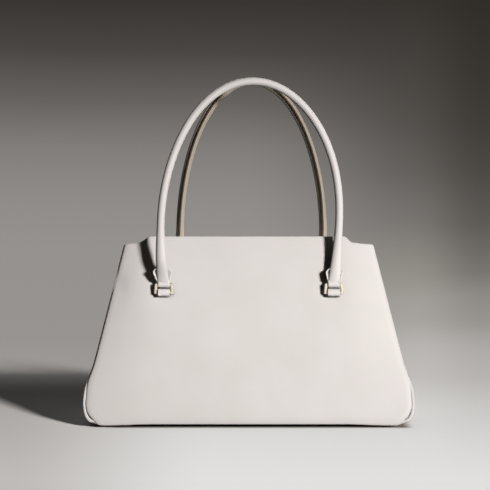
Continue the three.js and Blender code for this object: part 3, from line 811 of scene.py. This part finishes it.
def lining():
    """Cloth bag with loose folds that lean inwards, closed by its floor on the base board."""
    inset = LINING_INSET + LINING / 2
    lift = WASHER_TOP + FIT_GAP - SEAM_Z - LINING_INSET
    columns = steps(0.0, (FLAT_REACH, 20), (side_x(TOP_Z, inset), 10))
    walls = outline_rows(inset, FACING_BOTTOM - FIT_GAP, 8, 34, lift)
    loops = [body_loop(row, inset, columns, 20) for row in walls]
    floor = [[Vector((p.x * share, p.y * share, p.z)) for p in loops[0]] for share in (0, 0.3, 0.6, 0.85)]
    loops = floor + loops
    count = len(loops[0])
    rows = range(len(loops))

    def place(i, j):
        spot = loops[j][i % count]
        held = clamp(j / 6) * clamp((len(loops) - 1 - j) / 6)
        fold = waves(spot.x + 2 * spot.y, spot.z * 0.4, LINING_FOLD, 5.7, lift=1)
        inward = held * (fold + waves(spot.x - 2 * spot.y, spot.z, LINING_CREASE, 9.2, lift=1))
        return spot - Vector((spot.x * 0.3, spot.y, 0)).normalized() * inward if j > 3 else spot

    def edge(i, j):
        return (rows[-1] - j) * MM

    bm = leather_sheet(range(count + 1), rows, place, lambda *_: LINING / 2, edge, LINING / 2, loop=True)
    finish("lining_cloth_bag", bm, TWILL, "bag", "lining")


def facing():
    """Leather band inside the mouth, stitched along its lower edge over the lining."""
    inset = LINING_INSET + FACING / 2
    top = TOP_Z - EDGE_SETBACK
    edge = side_x(TOP_Z, inset)
    crown = edge - RIGHT_SHOULDER - RIGHT_STEP
    columns = steps(0.0, (FLAT_REACH, 18), (crown, 1), (edge - LEFT_SHOULDER, 10), (edge, 6))
    rim = FACING / 2
    lower = [FACING_BOTTOM + rim * share for share in (0, 0.13, 0.45)]
    heights = lower + steps(FACING_BOTTOM + rim, (top - rim, 14)) + rim_lines(top, rim)
    loops = [body_loop((side_x(z, inset), z, SIDE_TURN), inset, columns, 20) for z in heights]
    count = len(loops[0])
    bm = leather_sheet(
        range(count + 1),
        range(len(loops)),
        lambda i, j: loops[j][i % count],
        lambda *_: FACING / 2,
        lambda _, j: min(heights[j] - FACING_BOTTOM, top - heights[j]),
        rim,
        loop=True,
        paint=0.3,
    )
    finish("mouth_facing_leather", bm, LEATHER, "bag", "mouth_facing")
    seam = [p - Vector((p.x * 0.02, p.y, 0)).normalized() * FACING / 2 for p in loops[5]]
    finish("mouth_facing_stitches", stitch_row(seam_places(seam), *FACING_STITCH), THREAD, "bag")


def seam_places(loop):
    """Stitch places along a closed loop of points on the inside of the bag."""
    places = []
    spare = 0.0
    for start, end in zip(loop, loop[1:] + loop[:1]):
        along = end - start
        length = along.length
        while spare < length:
            spot = start + along * (spare / length)
            out = along.cross(Vector((0, 0, 1)))
            places.append((spot, along.normalized(), -out.normalized()))
            spare += FACING_PITCH
        spare -= length
    return places


# Metal: feet, snap and rings

def foot(name, x, y):
    top = SEAM_Z - PANEL / 2 - FIT_GAP
    belly = 0.62 * top
    stretch = (FOOT_RADIUS - FOOT_FLAT) / belly
    dome = [(FOOT_FLAT + r * stretch, h) for r, h in arc((0, belly), belly, -90, 0, 8)]
    lip = 0.4 * MM
    profile = [(0, 0), *dome, (FOOT_RADIUS, top - lip), (FOOT_RADIUS - lip, top), (SHANK_RADIUS, top)]
    profile += [(SHANK_RADIUS, WASHER_TOP - lip), (SHANK_RADIUS - lip, WASHER_TOP), (0, WASHER_TOP)]
    seat = Matrix.Translation((x, y, 0))
    finish(f"{name}_foot_dome", turned(profile, seat), GOLD, "bag", f"{name}_foot")


def snap_seat(half):
    z = TOP_Z + SHOULDER_RISE + STEP_RISE - SNAP_DROP
    lean = panel_lean(z)
    inward = Vector((0, math.cos(lean), -math.sin(lean)))
    across = Vector((1, 0, 0))
    root = Vector((0, -middle_depth(z) + LINING_INSET + FACING, z)) + inward * FIT_GAP
    turn = Matrix((across, inward.cross(across), inward)).transposed().to_4x4()
    return Matrix.Rotation(math.pi if half < 0 else 0, 4, "Z") @ Matrix.Translation(root) @ turn


def snap(half, name, middle, height):
    bevel = 0.9 * MM
    shoulder = arc((SNAP_RADIUS - bevel, SNAP_THICKNESS - bevel), bevel, 0, 90, 6)
    soft = 0.25 * MM
    if height > SNAP_THICKNESS:
        rise = [(middle, SNAP_THICKNESS), (middle, height - soft), (middle - soft, height)]
    else:
        rise = [(middle + soft, SNAP_THICKNESS), (middle, SNAP_THICKNESS - soft), (middle, height)]
    profile = [(0, 0), (SNAP_RADIUS, 0), *shoulder, *rise, (0, height)]
    finish(f"{name}_disc", turned(profile, snap_seat(half)), GOLD, "bag", name)


def ring_loop(reach, corner):
    """Round-cornered trapezium at a distance outside the bars' centrelines, as (x, z) points."""
    low = CHAPE_WIDTH / 2 + CHAPE_SIDE_GAP + RING_WIRE / 2 + reach
    high = TAB_WIDTH / 2 + TAB_SIDE_GAP + RING_WIRE / 2 + reach
    top = BAR_PITCH + reach
    tips = [Vector(tip) for tip in ((-low, -reach), (low, -reach), (high, top), (-high, top))]
    loop = []
    for i, tip in enumerate(tips):
        before = tip + (tips[i - 1] - tip).normalized() * corner
        after = tip + (tips[(i + 1) % 4] - tip).normalized() * corner
        loop += [before.lerp(tip, t).lerp(tip.lerp(after, t), t) for t in steps(0.0, (1.0, 6))]
    return loop


def ring(half, side, name, body):
    """Trapezium ring of squared wire, drawn between its outer and inner outline."""
    outer = ring_loop(RING_WIRE / 2, 2.2 * MM)
    inner = ring_loop(-RING_WIRE / 2, 0.9 * MM)
    count = len(outer)

    def place(angle, i):
        wide = math.copysign(abs(math.cos(angle)) ** 0.5, math.cos(angle))
        deep = math.copysign(abs(math.sin(angle)) ** 0.5, math.sin(angle)) * RING_WIRE / 2
        spot = inner[i % count].lerp(outer[i % count], 0.5 + 0.5 * wide)
        return Vector((side * RING_SPACING / 2 + spot.x, LOWER_BAR.y + deep, LOWER_BAR.z + spot.y))

    bm = tube(steps(0.0, (2 * math.pi, 24)), range(count + 1), place)
    finish(f"{name}_ring_wire", bm, GOLD, body, f"{name}_ring", half=half)


# Chapes, handle tabs and handles

def flat_front(a, b, loop):
    """A point of the chape's loop, pressed so that the front of the loop is flat with tight bends."""
    if a <= BAR_STANDOFF:
        return a, b
    ahead, up = (math.copysign(loop * abs(d / loop) ** 0.65, d) for d in (a - BAR_STANDOFF, b))
    return BAR_STANDOFF + ahead, up


def chape(half, side, name):
    """Strap folded round the ring's lower bar, its two layers through the panel, tails sewn behind."""
    lean = panel_lean(CHAPE_ROOT_Z)
    outward = Vector((0, -math.cos(lean), math.sin(lean)))
    upward = Vector((0, math.sin(lean), math.cos(lean)))
    root = Vector((side * RING_SPACING / 2, -middle_depth(CHAPE_ROOT_Z), CHAPE_ROOT_Z))
    neck = CHAPE_THICKNESS / 2
    loop = BAR_HOLE + neck
    tail = -PANEL / 2 - TAIL_GAP - TAIL_THICKNESS / 2
    turn = math.degrees(math.asin(neck / loop))
    below = [(tail, -TAIL_REACH + rise) for rise in (0, 0.1 * MM, 0.75 * MM)]
    below += [(tail, -3.4 * MM), (tail + 0.3 * MM, -neck - 1 * MM), (tail + 1.2 * MM, -neck)]
    below += [(0, -neck), (1 * MM, -neck)]
    bend = arc((BAR_STANDOFF, 0), loop, 180 + turn, 540 - turn, 36)
    route = below + [flat_front(*spot, loop) for spot in bend] + [(a, -b) for a, b in reversed(below)]
    last = len(route) - 1

    def place(share, i):
        a, b = route[i]
        return root + outward * a + upward * b + Vector((share * CHAPE_WIDTH / 2, 0, 0))

    def half_thickness(_, i, side):
        return lerp(TAIL_THICKNESS, CHAPE_THICKNESS, smoothstep(min(i, last - i), 3, 7)) / 2

    def edge(share, i):
        ends = [math.hypot(route[i][0] - e[0], route[i][1] - e[1]) for e in (route[0], route[-1])]
        return min((1 - abs(share)) * CHAPE_WIDTH / 2, *ends)

    shares = both_sides(steps(0.0, (0.8, 6), (0.87, 1)) + [0.93, 0.98, 1])
    bm = leather_sheet(shares, range(len(route)), place, half_thickness, edge, 0.9 * MM, paint=0.15)
    finish(f"{name}_chape_strap", bm, LEATHER, "bag", f"{name}_chape", half=half)


LINE_STEPS = 600


class HandleLine:
    """Centreline of a handle from its left upper bar over the crown to the right one.

    It leans to the right, and its left and right legs stand out from the bag by different amounts.
    """

    def __init__(self, shape):
        for name, size in shape.items():
            setattr(self, name, size)
        self.points = [self.point(i / LINE_STEPS) for i in range(LINE_STEPS + 1)]
        self.lengths = [0.0]
        for a, b in zip(self.points, self.points[1:]):
            self.lengths.append(self.lengths[-1] + (b - a).length)
        self.length = self.lengths[-1]

    def swayed(self, x, height):
        """Place above the upper bars of a point of the upright handle, leaning and turned as it stands."""
        across = clamp(0.5 + x / self.span)
        out = lerp(self.left_out, self.right_out, across)
        out *= smoothstep(height, 0, lerp(LEFT_TWIST, RIGHT_TWIST, across))
        return Vector((x + self.lean * smoothstep(height, 0, self.lean_height), -out, height))

    def leg(self, side, height):
        below = 1 - height / self.hip
        spread = self.span - (self.span - RING_SPACING) * below * below
        return self.swayed(side * spread / 2, height)

    def point(self, t):
        side = -1 if t < 0.5 else 1
        leg_share = self.hip / self.rise
        along = 1 - abs(2 * t - 1)
        if along < leg_share:
            return UPPER_BAR + self.leg(side, along * self.rise)
        turn = (along - leg_share) / (1 - leg_share) * math.pi / 2
        height = self.hip + (self.rise - self.hip) * math.sin(turn)
        return UPPER_BAR + self.swayed(side * self.span / 2 * math.cos(turn), height)

    def at(self, distance):
        """Point and direction at a distance along the line."""
        i = min(max(bisect_right(self.lengths, distance) - 1, 0), len(self.points) - 2)
        a, b = self.points[i], self.points[i + 1]
        share = (distance - self.lengths[i]) / (self.lengths[i + 1] - self.lengths[i])
        before = self.points[max(i - 2, 0)]
        after = self.points[min(i + 3, len(self.points) - 1)]
        return a.lerp(b, share), (after - before).normalized()

    def section(self, distance):
        """Centre, width direction, half width and half depth of the oval section at a distance."""
        from_end = min(distance, self.length - distance)
        centre, tangent = self.at(distance)
        upright = Vector((0, 0, 1 if distance < self.length / 2 else -1))
        swell = smoothstep(from_end, COVER_START, FLATTEN_LENGTH)
        across = Vector((0, 1, 0)).cross(upright.lerp(tangent, swell)).normalized()
        flat = COVER + FLAT_BORE
        width = lerp(TAB_WIDTH / 2, TUBE_RADIUS, smoothstep(from_end, FLARE_START, FLARE_LENGTH))
        depth = lerp(flat, TUBE_RADIUS, swell)
        centre.y += lerp(flat - FOLD_RADIUS, 0, swell)
        return centre, across, width, depth


FIN_HEIGHT = 3.4 * MM
FIN_TURN = 6
FIN_START = 47 * MM
FIN_FULL = 58 * MM
FIN_TWIST = 5
STITCH_LIFT = 0.8 * MM


def seam_turn(angle):
    """Degrees from the sewn seam, which stands as a fin on the handle's inner side."""
    return math.degrees(abs(math.remainder(angle - math.pi / 2, 2 * math.pi)))


def fin_twist(line, distance):
    """Turn of the round tube about its line, which leans the fin to one side all the way over the crown."""
    from_end = min(distance, line.length - distance)
    side = 1 - 2 * smoothstep(distance / line.length, 0.35, 0.65)
    return math.radians(FIN_TWIST) * side * smoothstep(from_end, FIN_FULL, 2 * FIN_FULL)


def handle_point(line, angle, distance, shrink=1.0):
    centre, across, width, depth = line.section(distance)
    from_end = min(distance, line.length - distance)
    fin = FIN_HEIGHT * smoothstep(from_end, FIN_START, FIN_FULL)
    lift = fin * (1 - smoothstep(seam_turn(angle), FIN_TURN - 1.5, FIN_TURN + 4))
    lift -= 0.35 * MM * bell(seam_turn(angle), 2.2) * fin / FIN_HEIGHT
    angle += fin_twist(line, distance)
    out = across * math.cos(angle) * (width + lift) + Vector((0, math.sin(angle) * (depth + lift), 0))
    return centre + out * shrink


def handle(half, name, shape):
    line = HandleLine(shape)
    body = f"{name}_handle"
    end_round = 0.5 * MM
    ends = [COVER_START + end_round * share for share in (0, 0.13, 0.45, 1)]
    start = ends[:-1] + steps(ends[-1], (FLARE_LENGTH, 36))
    stations = start + steps(FLARE_LENGTH, (line.length - FLARE_LENGTH, 120))[1:-1]
    stations += [line.length - distance for distance in reversed(start)]
    seam = [0, 1.2, 2.6, 4, 5, 6, 7.2, 8.5, 10, 13, 18, 26, 35]
    degrees = seam + steps(35, (325, 26))[1:-1] + [360 - d for d in reversed(seam)]
    angles = [math.radians(90 + d) for d in degrees]

    def place(angle, distance):
        from_end = min(distance, line.length - distance) - COVER_START
        return handle_point(line, angle, distance, 1 - 0.1 * (1 - rim_share(from_end, end_round)))

    # Paint on the handle's inner side: the fin's edge paint, darkened further as a painted shadow on the fin, and
    # a tan band beside the seam as painted shade
    def paint(angle, distance):
        from_end = min(distance, line.length - distance)
        on_fin = 1 - smoothstep(seam_turn(angle), FIN_TURN - 1, FIN_TURN + 2.5)
        # Painted shade: a tan band that dims the inner half of the handle beside the seam
        beside = 0.37 * (1 - smoothstep(seam_turn(angle), 50, 85))
        return lerp(beside, 0.92, on_fin) * smoothstep(from_end, FIN_START, FIN_FULL)

    bm = tube(angles, stations, place, paint)
    finish(f"{name}_handle_sleeve", bm, LEATHER, body, f"{name}_handle_cover", half=half)

    def core_point(angle, distance):
        centre, across, _, _ = line.section(distance)
        lay = abs(math.cos(1.5 * (angle - distance * 2 * math.pi / (54 * MM))))
        radius = CORE_RADIUS * (0.8 + 0.2 * lay)
        return centre + across * math.cos(angle) * radius + Vector((0, math.sin(angle) * radius, 0))

    inside = steps(CORE_START, (line.length - CORE_START, 150))
    bm = tube(steps(0.0, (2 * math.pi, 24)), inside, core_point)
    finish(f"{name}_handle_rope", bm, ROPE, body, f"{name}_handle_core", half=half)

    places = []
    for distance in steps(FIN_FULL, (line.length - FIN_FULL, FIN_STITCHES)):
        centre, across, _, depth = line.section(distance)
        _, tangent = line.at(distance)
        for face in (-1, 1):
            turn = fin_twist(line, distance) - face * math.radians(FIN_TURN + 1.5)
            reach = depth + STITCH_LIFT
            spot = centre - across * math.sin(turn) * reach + Vector((0, math.cos(turn) * reach, 0))
            places.append((spot, tangent, across * face))
    bm = stitch_row(places, *FIN_STITCH)
    finish(f"{name}_handle_stitches", bm, EDGE_THREAD, body, half=half)
    return line


WING_CURL = 8 * MM


def tab_half_width(leaf):
    """A strap at the bar that fans out into two wings, with a narrower tongue above them."""
    if leaf < LEAF_SHOULDER:
        return lerp(TAB_WIDTH, LEAF_WIDTH, leaf / LEAF_SHOULDER) / 2
    if leaf < LEAF_NECK:
        drop = (leaf - LEAF_SHOULDER) / (LEAF_NECK - LEAF_SHOULDER)
        return lerp(LEAF_TIP_WIDTH, LEAF_WIDTH, math.sqrt(1 - drop * drop)) / 2
    tip = clamp((leaf - LEAF_TONGUE) / (LEAF_HEIGHT - LEAF_TONGUE))
    return LEAF_TIP_WIDTH / 2 * math.sqrt(1 - tip * tip)


def wing_curl(share, leaf):
    """Forward curl of the leaf's wings beside the tube, stronger on the left one."""
    curl = WING_CURL if share < 0 else 0.12 * WING_CURL
    return curl * abs(share) ** 3 * smoothstep(leaf, 0, LEAF_SHOULDER / 2)


def tab_route():
    """Side view of the tab as (y, height, leaf): inside the handle's flat end, round the bar, up behind."""
    radius = FOLD_RADIUS - TAB_THICKNESS / 2
    leaf_y = TUBE_RADIUS + FIT_GAP + TAB_THICKNESS / 2
    route = [(-radius + 0.7 * MM, BAR_HOLE + 4 * MM, 0), (-radius + 0.7 * MM, BAR_HOLE + 1.6 * MM, 0)]
    route += [(-radius, BAR_HOLE, 0)]
    route += [(y, height, 0) for y, height in arc((0, 0), radius, 180, 360, 20)]
    rounding = (0.3, 0.55, 0.75, 0.88, 0.95, 0.985, 1)
    heights = steps(0.0, (LEAF_SHOULDER, 14))[1:]
    heights += [lerp(LEAF_SHOULDER, LEAF_NECK, share) for share in rounding]
    heights += steps(LEAF_NECK, (LEAF_TONGUE, 2))[1:]
    heights += [lerp(LEAF_TONGUE, LEAF_HEIGHT, share) for share in rounding]
    for height in heights:
        route.append((lerp(radius, leaf_y, smoothstep(height, 0, LEAF_SHOULDER)), height, height))
    return route


def tab(half, side, name, line, body):
    route = tab_route()
    rim = TAB_THICKNESS / 2

    def place(share, i):
        y, height, leaf = route[i]
        leg = line.leg(side, leaf)
        x = leg.x + share * tab_half_width(leaf)
        return Vector((x, UPPER_BAR.y + leg.y + y - wing_curl(share, leaf), UPPER_BAR.z + height))

    def edge(share, i):
        y, height, leaf = route[i]
        tip = LEAF_HEIGHT - leaf if leaf else rim
        start = BAR_HOLE + 4 * MM - height if y < 0 else rim
        return min((1 - abs(share)) * tab_half_width(leaf), tip, start)

    shares = both_sides(steps(0.0, (0.8, 7), (0.88, 1)) + [0.945, 0.985, 1])
    bm = leather_sheet(shares, range(len(route)), place, lambda *_: TAB_THICKNESS / 2, edge, rim, paint=0.1)
    finish(f"{name}_tab_leaf", bm, LEATHER, body, f"{name}_handle_tab", half=half)

    places = []
    out = Vector((0, 1, 0))
    for wing in (-1, 1):
        for i in range(4):
            height = lerp(4 * MM, 13.6 * MM, i / 3)
            row = min(route, key=lambda spot: abs(spot[2] - height))
            wide = tab_half_width(height)
            reach = wing * (wide - 1.7 * MM)
            spot = UPPER_BAR + line.leg(side, height)
            spot += Vector((reach, row[0] - wing_curl(reach / wide, height), 0))
            for face in (-1, 1):
                middle = spot + out * face * TAB_THICKNESS / 2
                places.append((middle, Vector((0, 0, 1)), out * face))
    bm = stitch_row(places, *TAB_STITCH)
    finish(f"{name}_tab_stitches", bm, THREAD, body, half=half)


# Make the bag

for half, name, gusset_name, shape, seed in (
    (1, "front", "right", FRONT_HANDLE, 1.3),
    (-1, "back", "left", BACK_HANDLE, 14.9),
):
    panel(half, name, seed)
    gusset(half, gusset_name, seed + 3)
    piping(half, name, seed + 5)
    handle_line = handle(half, name, shape)
    for side in (-1, 1):
        end = f"{name}_{'left' if side * half < 0 else 'right'}"
        chape(half, side, end)
        ring(half, side, end, f"{name}_rings")
        tab(half, side, end, handle_line, f"{name}_handle")
base()
lining()
facing()
for name, y in (("front", -FOOT_Y), ("back", FOOT_Y)):
    for end, x in (("left", -FOOT_X), ("right", FOOT_X)):
        foot(f"{name}_{end}", x, y)
snap(1, "snap_socket", SNAP_KNOB + FIT_GAP, SNAP_THICKNESS - SNAP_RECESS)
snap(-1, "snap_stud", SNAP_KNOB, SNAP_THICKNESS + SNAP_RECESS)

for node_name, shown in frame["nodes"].items():
    board = "stiffener" in node_name or node_name == "base_board"
    if board or "washer" in node_name:
        shown.data.materials.clear()
        shown.data.materials.append(FIBREBOARD[0] if board else GOLD[0])


# Studio: pale paper that sweeps up into a backdrop painted darker, a soft key from the front right

CAMERA = Vector((-0.0043, -1.962, 0.2105))
LENS = 121.6
SENSOR = 36
FLOOR_REACH = 1.2
ROOM_RADIUS = 3.2
ROOM_HEIGHT = 2.4
SWEEP = 0.8
KEY_TURN = 34.5
KEY_RISE = 11
KEY_REACH = 3.0
KEY_POWER = 5.45
KEY_SPREAD = 44
KEY_AIM = Vector((-0.04, 0, 0.1))
FLOOR_TURN = 27
FLOOR_RISE = 13
FLOOR_SKY = 0.12
FLOOR_SKY_HEIGHT = 2.2
FLOOR_SUN = (1 - FLOOR_SKY) * math.pi / math.sin(math.radians(FLOOR_RISE))
BAG_MIDDLE = Vector((0, 0, 0.15))

# Painted light and shade of the paper: a ramp from the floor in front to the backdrop's top, at the left, right
# and far right
PAPER_LEFT = [
    (0.01, "#c2bebb"), (0.11, "#b4b0ad"), (0.22, "#a09c99"), (0.3, "#979491"), (0.48, "#95928f"),
    (0.58, "#8f8c89"), (0.69, "#817e7b"), (0.79, "#676360"), (0.9, "#494643"), (1.0, "#393633"),
]
PAPER_RIGHT = [
    (0.01, "#e5e4e2"), (0.11, "#dddbd9"), (0.22, "#c5c2bf"), (0.32, "#b0ada9"), (0.43, "#939089"),
    (0.53, "#787571"), (0.64, "#615e5a"), (0.74, "#524f4b"), (0.84, "#484541"), (1.0, "#373430"),
]
PAPER_FAR_RIGHT = [
    (0.01, "#e5e4e2"), (0.11, "#d6d4d2"), (0.22, "#bab7b4"), (0.32, "#a19e9a"), (0.43, "#797672"),
    (0.53, "#5f5c58"), (0.64, "#4d4a46"), (0.74, "#413e3a"), (0.84, "#3a3733"), (1.0, "#312e2a"),
]
# Stretches of the floor's depth, and of the paper's height, with the share of the ramp at both ends
FLOOR_STRETCHES = (
    (-0.48, -0.1, 0.01, 0.11), (-0.1, 0.63, 0, 0.11), (0.63, 2.4, 0, 0.125),
    (2.4, 2.66, 0, 0.03), (2.66, 2.93, 0, 0.107),
)
RAISED_STRETCH = (0, 0.96, 0.345, 1)
RAISED_FADE = (0, 0.2)
# The pale part, a painted pool of light, fans out towards the back: its half width by depth, and its turn to the
# left near the bag
FAN = (-0.66, 3.2, 0.156, 0.619)
FAN_TURN = (0.043, 0.669, 1.167, 0)
FAN_EDGE = (-0.083, 1)
FAR_RIGHT_EDGE = (0.833, 1.192)
GLOW_DEPTH = (0.37, 1.5)
GLOW_HEIGHT = (0.005, 0.15)
# Painted contact shadow under the bag
CONTACT_LEFT = (-0.172, -0.15)
CONTACT_RIGHT = (0.193, 0.178)
CONTACT_Y = (0.066, 0.046)
AIR = 0.003


def backdrop_paper():
    """Seamless paper: a matt pale floor that takes the shadow, painted darker towards the backdrop's top.

    The shade is painted by the paper's own depth, height and width: painted shade up the backdrop, a painted pool
    of light fanning out behind the bag, a painted contact shadow under it, and farther back and up the backdrop a
    glow of the painted shade, seen by camera and glossy rays, in place of lamp light.
    """
    made, node = shader("seamless_paper")
    place = node("TexCoord", out="Object")
    spot = node("SeparateXYZ", {"Vector": place}, out=None)
    height = 0
    for stretch in FLOOR_STRETCHES:
        height = node("Math", (height, node("MapRange", (spot["Y"], *stretch))))
    raised = node("MapRange", (spot["Z"], *RAISED_STRETCH))
    risen = node("MapRange", (spot["Z"], *RAISED_FADE), interpolation_type="SMOOTHSTEP")
    height = node("Mix", {0: risen, 2: height, 3: raised})
    aside = node("Math", (spot["X"], node("MapRange", (spot["Y"], *FAN))), operation="DIVIDE")
    across = node("Math", (aside, node("MapRange", (spot["Y"], *FAN_TURN))))
    shade = node("ValToRGB", {"Fac": height}, PAPER_LEFT)
    for bearing, edge, stops in ((across, FAN_EDGE, PAPER_RIGHT), (aside, FAR_RIGHT_EDGE, PAPER_FAR_RIGHT)):
        share = node("MapRange", (bearing, *edge), interpolation_type="SMOOTHSTEP")
        column = node("ValToRGB", {"Fac": height}, stops)
        shade = node("Mix", {0: share, 6: shade, 7: column}, out=2, data_type="RGBA")
    # Painted contact shadow: the paper's shade is darkened under the bag
    painted_shadow_share = 1
    middle = node("Math", (spot["Y"],), operation="ABSOLUTE")
    for value, edge in ((middle, CONTACT_Y), (spot["X"], CONTACT_LEFT), (spot["X"], CONTACT_RIGHT)):
        inside = node("MapRange", (value, *edge), interpolation_type="SMOOTHSTEP")
        painted_shadow_share = node("Math", (painted_shadow_share, inside), operation="MULTIPLY")
    painted_contact_shadow = {0: painted_shadow_share, 6: shade, 7: linear("#857c75")}
    shade = node("Mix", painted_contact_shadow, out=2, data_type="RGBA", blend_type="MULTIPLY")
    # Camera and glossy rays see the painted shade; other rays see a dark grey, so the paper bounces little light
    # onto the bag
    seen = node("LightPath", out=None)
    direct = node("Math", (seen["Is Camera Ray"], seen["Is Glossy Ray"]), operation="MAXIMUM")
    bounce = node("Mix", {0: direct, 6: linear("#262524"), 7: shade}, out=2, data_type="RGBA")
    grain = node("TexNoise", {"Vector": place, "Scale": per_metre(4 * MM), "Detail": 3})
    tooth = node("Bump", {"Height": grain, "Strength": 0.05, "Distance": 0.2 * MM})
    floor = node("BsdfDiffuse", {"Color": bounce, "Normal": tooth})
    # Painted light: farther back and up the backdrop the paper glows with its painted shade instead of being lit
    painted_glow = node("Emission", {"Color": shade, "Strength": direct})
    painted_glow_share = 0
    for value, edge in ((spot["Y"], GLOW_DEPTH), (spot["Z"], GLOW_HEIGHT)):
        clear = node("MapRange", (value, *edge), interpolation_type="SMOOTHSTEP")
        painted_glow_share = node("Math", (painted_glow_share, clear), operation="MAXIMUM")
    node("OutputMaterial", {"Surface": node("MixShader", (painted_glow_share, floor, painted_glow))}, out=None)
    return made


def room():
    bend = arc((ROOM_RADIUS - SWEEP, SWEEP), SWEEP, -90, 0, 14)
    profile = [(0, 0), (FLOOR_REACH, 0), *bend, (ROOM_RADIUS, ROOM_HEIGHT)]
    paper = smooth_piece("studio_paper", turned(profile, around=72), backdrop_paper())
    paper.visible_shadow = False
    return paper


def towards(turn, rise):
    """Direction to a lamp, turned to the right of the front and raised, in degrees."""
    turn, rise = math.radians(turn), math.radians(rise)
    return Vector((math.sin(turn) * math.cos(rise), -math.cos(turn) * math.cos(rise), math.sin(rise)))


def lamp(name, kind, place, power, size, receivers, bounces=8, aim=BAG_MIDDLE, spread=180):
    """A lamp that lights only its receivers: watts and metres, or a sun's strength and angle in degrees."""
    light = bpy.data.lights.new(name, kind)
    light.energy = power
    light.cycles.max_bounces = bounces
    if kind == "SUN":
        light.angle = math.radians(size)
    else:
        light.size = size
        light.spread = math.radians(spread)
    holder = stand(name, light)
    holder.location = place
    holder.rotation_euler = (aim - place).to_track_quat("-Z", "Y").to_euler()
    holder.light_linking.receiver_collection = receivers


def group(name, objects):
    made = bpy.data.collections.new(name)
    for member in objects:
        made.objects.link(member)
    return made


def studio():
    pieces = [thing for thing in bpy.context.scene.objects if thing.type == "MESH"]
    shaded = ("front_panel", "front_piping", "front_handle", "back_handle")
    bag = group("bag_pieces", pieces)
    ends = group("handle_ends", [piece for piece in pieces if piece.name.endswith(("strap", "leaf", "wire"))])
    sides = group("side_pieces", [piece for piece in pieces if not piece.name.startswith(shaded)])
    paper = group("paper", [room()])
    key_place = BAG_MIDDLE + KEY_REACH * towards(KEY_TURN, KEY_RISE)
    lamp("key_softbox", "AREA", key_place, KEY_POWER, 0.4, bag, bounces=0, aim=KEY_AIM, spread=KEY_SPREAD)
    lamp("low_softbox", "AREA", Vector((-0.3, -2.4, 0.05)), 4.5, 0.5, ends)
    sun_place = BAG_MIDDLE + KEY_REACH * towards(FLOOR_TURN, FLOOR_RISE)
    lamp("floor_sun", "SUN", sun_place, FLOOR_SUN, 6, paper)
    sky_power = FLOOR_SKY * (math.pi * FLOOR_SKY_HEIGHT) ** 2
    lamp("floor_softbox", "AREA", BAG_MIDDLE + Vector((-0.3, 0.1, FLOOR_SKY_HEIGHT)), sky_power, 1.6, paper)
    lamp("back_softbox", "AREA", Vector((0.1, 2.0, 1.3)), 20, 1.2, bag)
    lamp("left_softbox", "AREA", Vector((-2.0, 0.9, 1.0)), 5, 0.9, sides)
    world = bpy.data.worlds.new("studio_air")
    world.use_nodes = True
    air = world.node_tree.nodes["Background"].inputs
    air["Color"].default_value = linear("#e8e6e4")
    air["Strength"].default_value = AIR
    bpy.context.scene.world = world
    bpy.context.scene.view_settings.view_transform = "Standard"


def camera():
    lens = bpy.data.cameras.new("front_camera")
    lens.lens = LENS
    lens.sensor_width = SENSOR
    holder = stand("front_camera", lens)
    holder.location = CAMERA
    holder.rotation_euler = (math.radians(90), 0, 0)
    bpy.context.scene.camera = holder


studio()
camera()
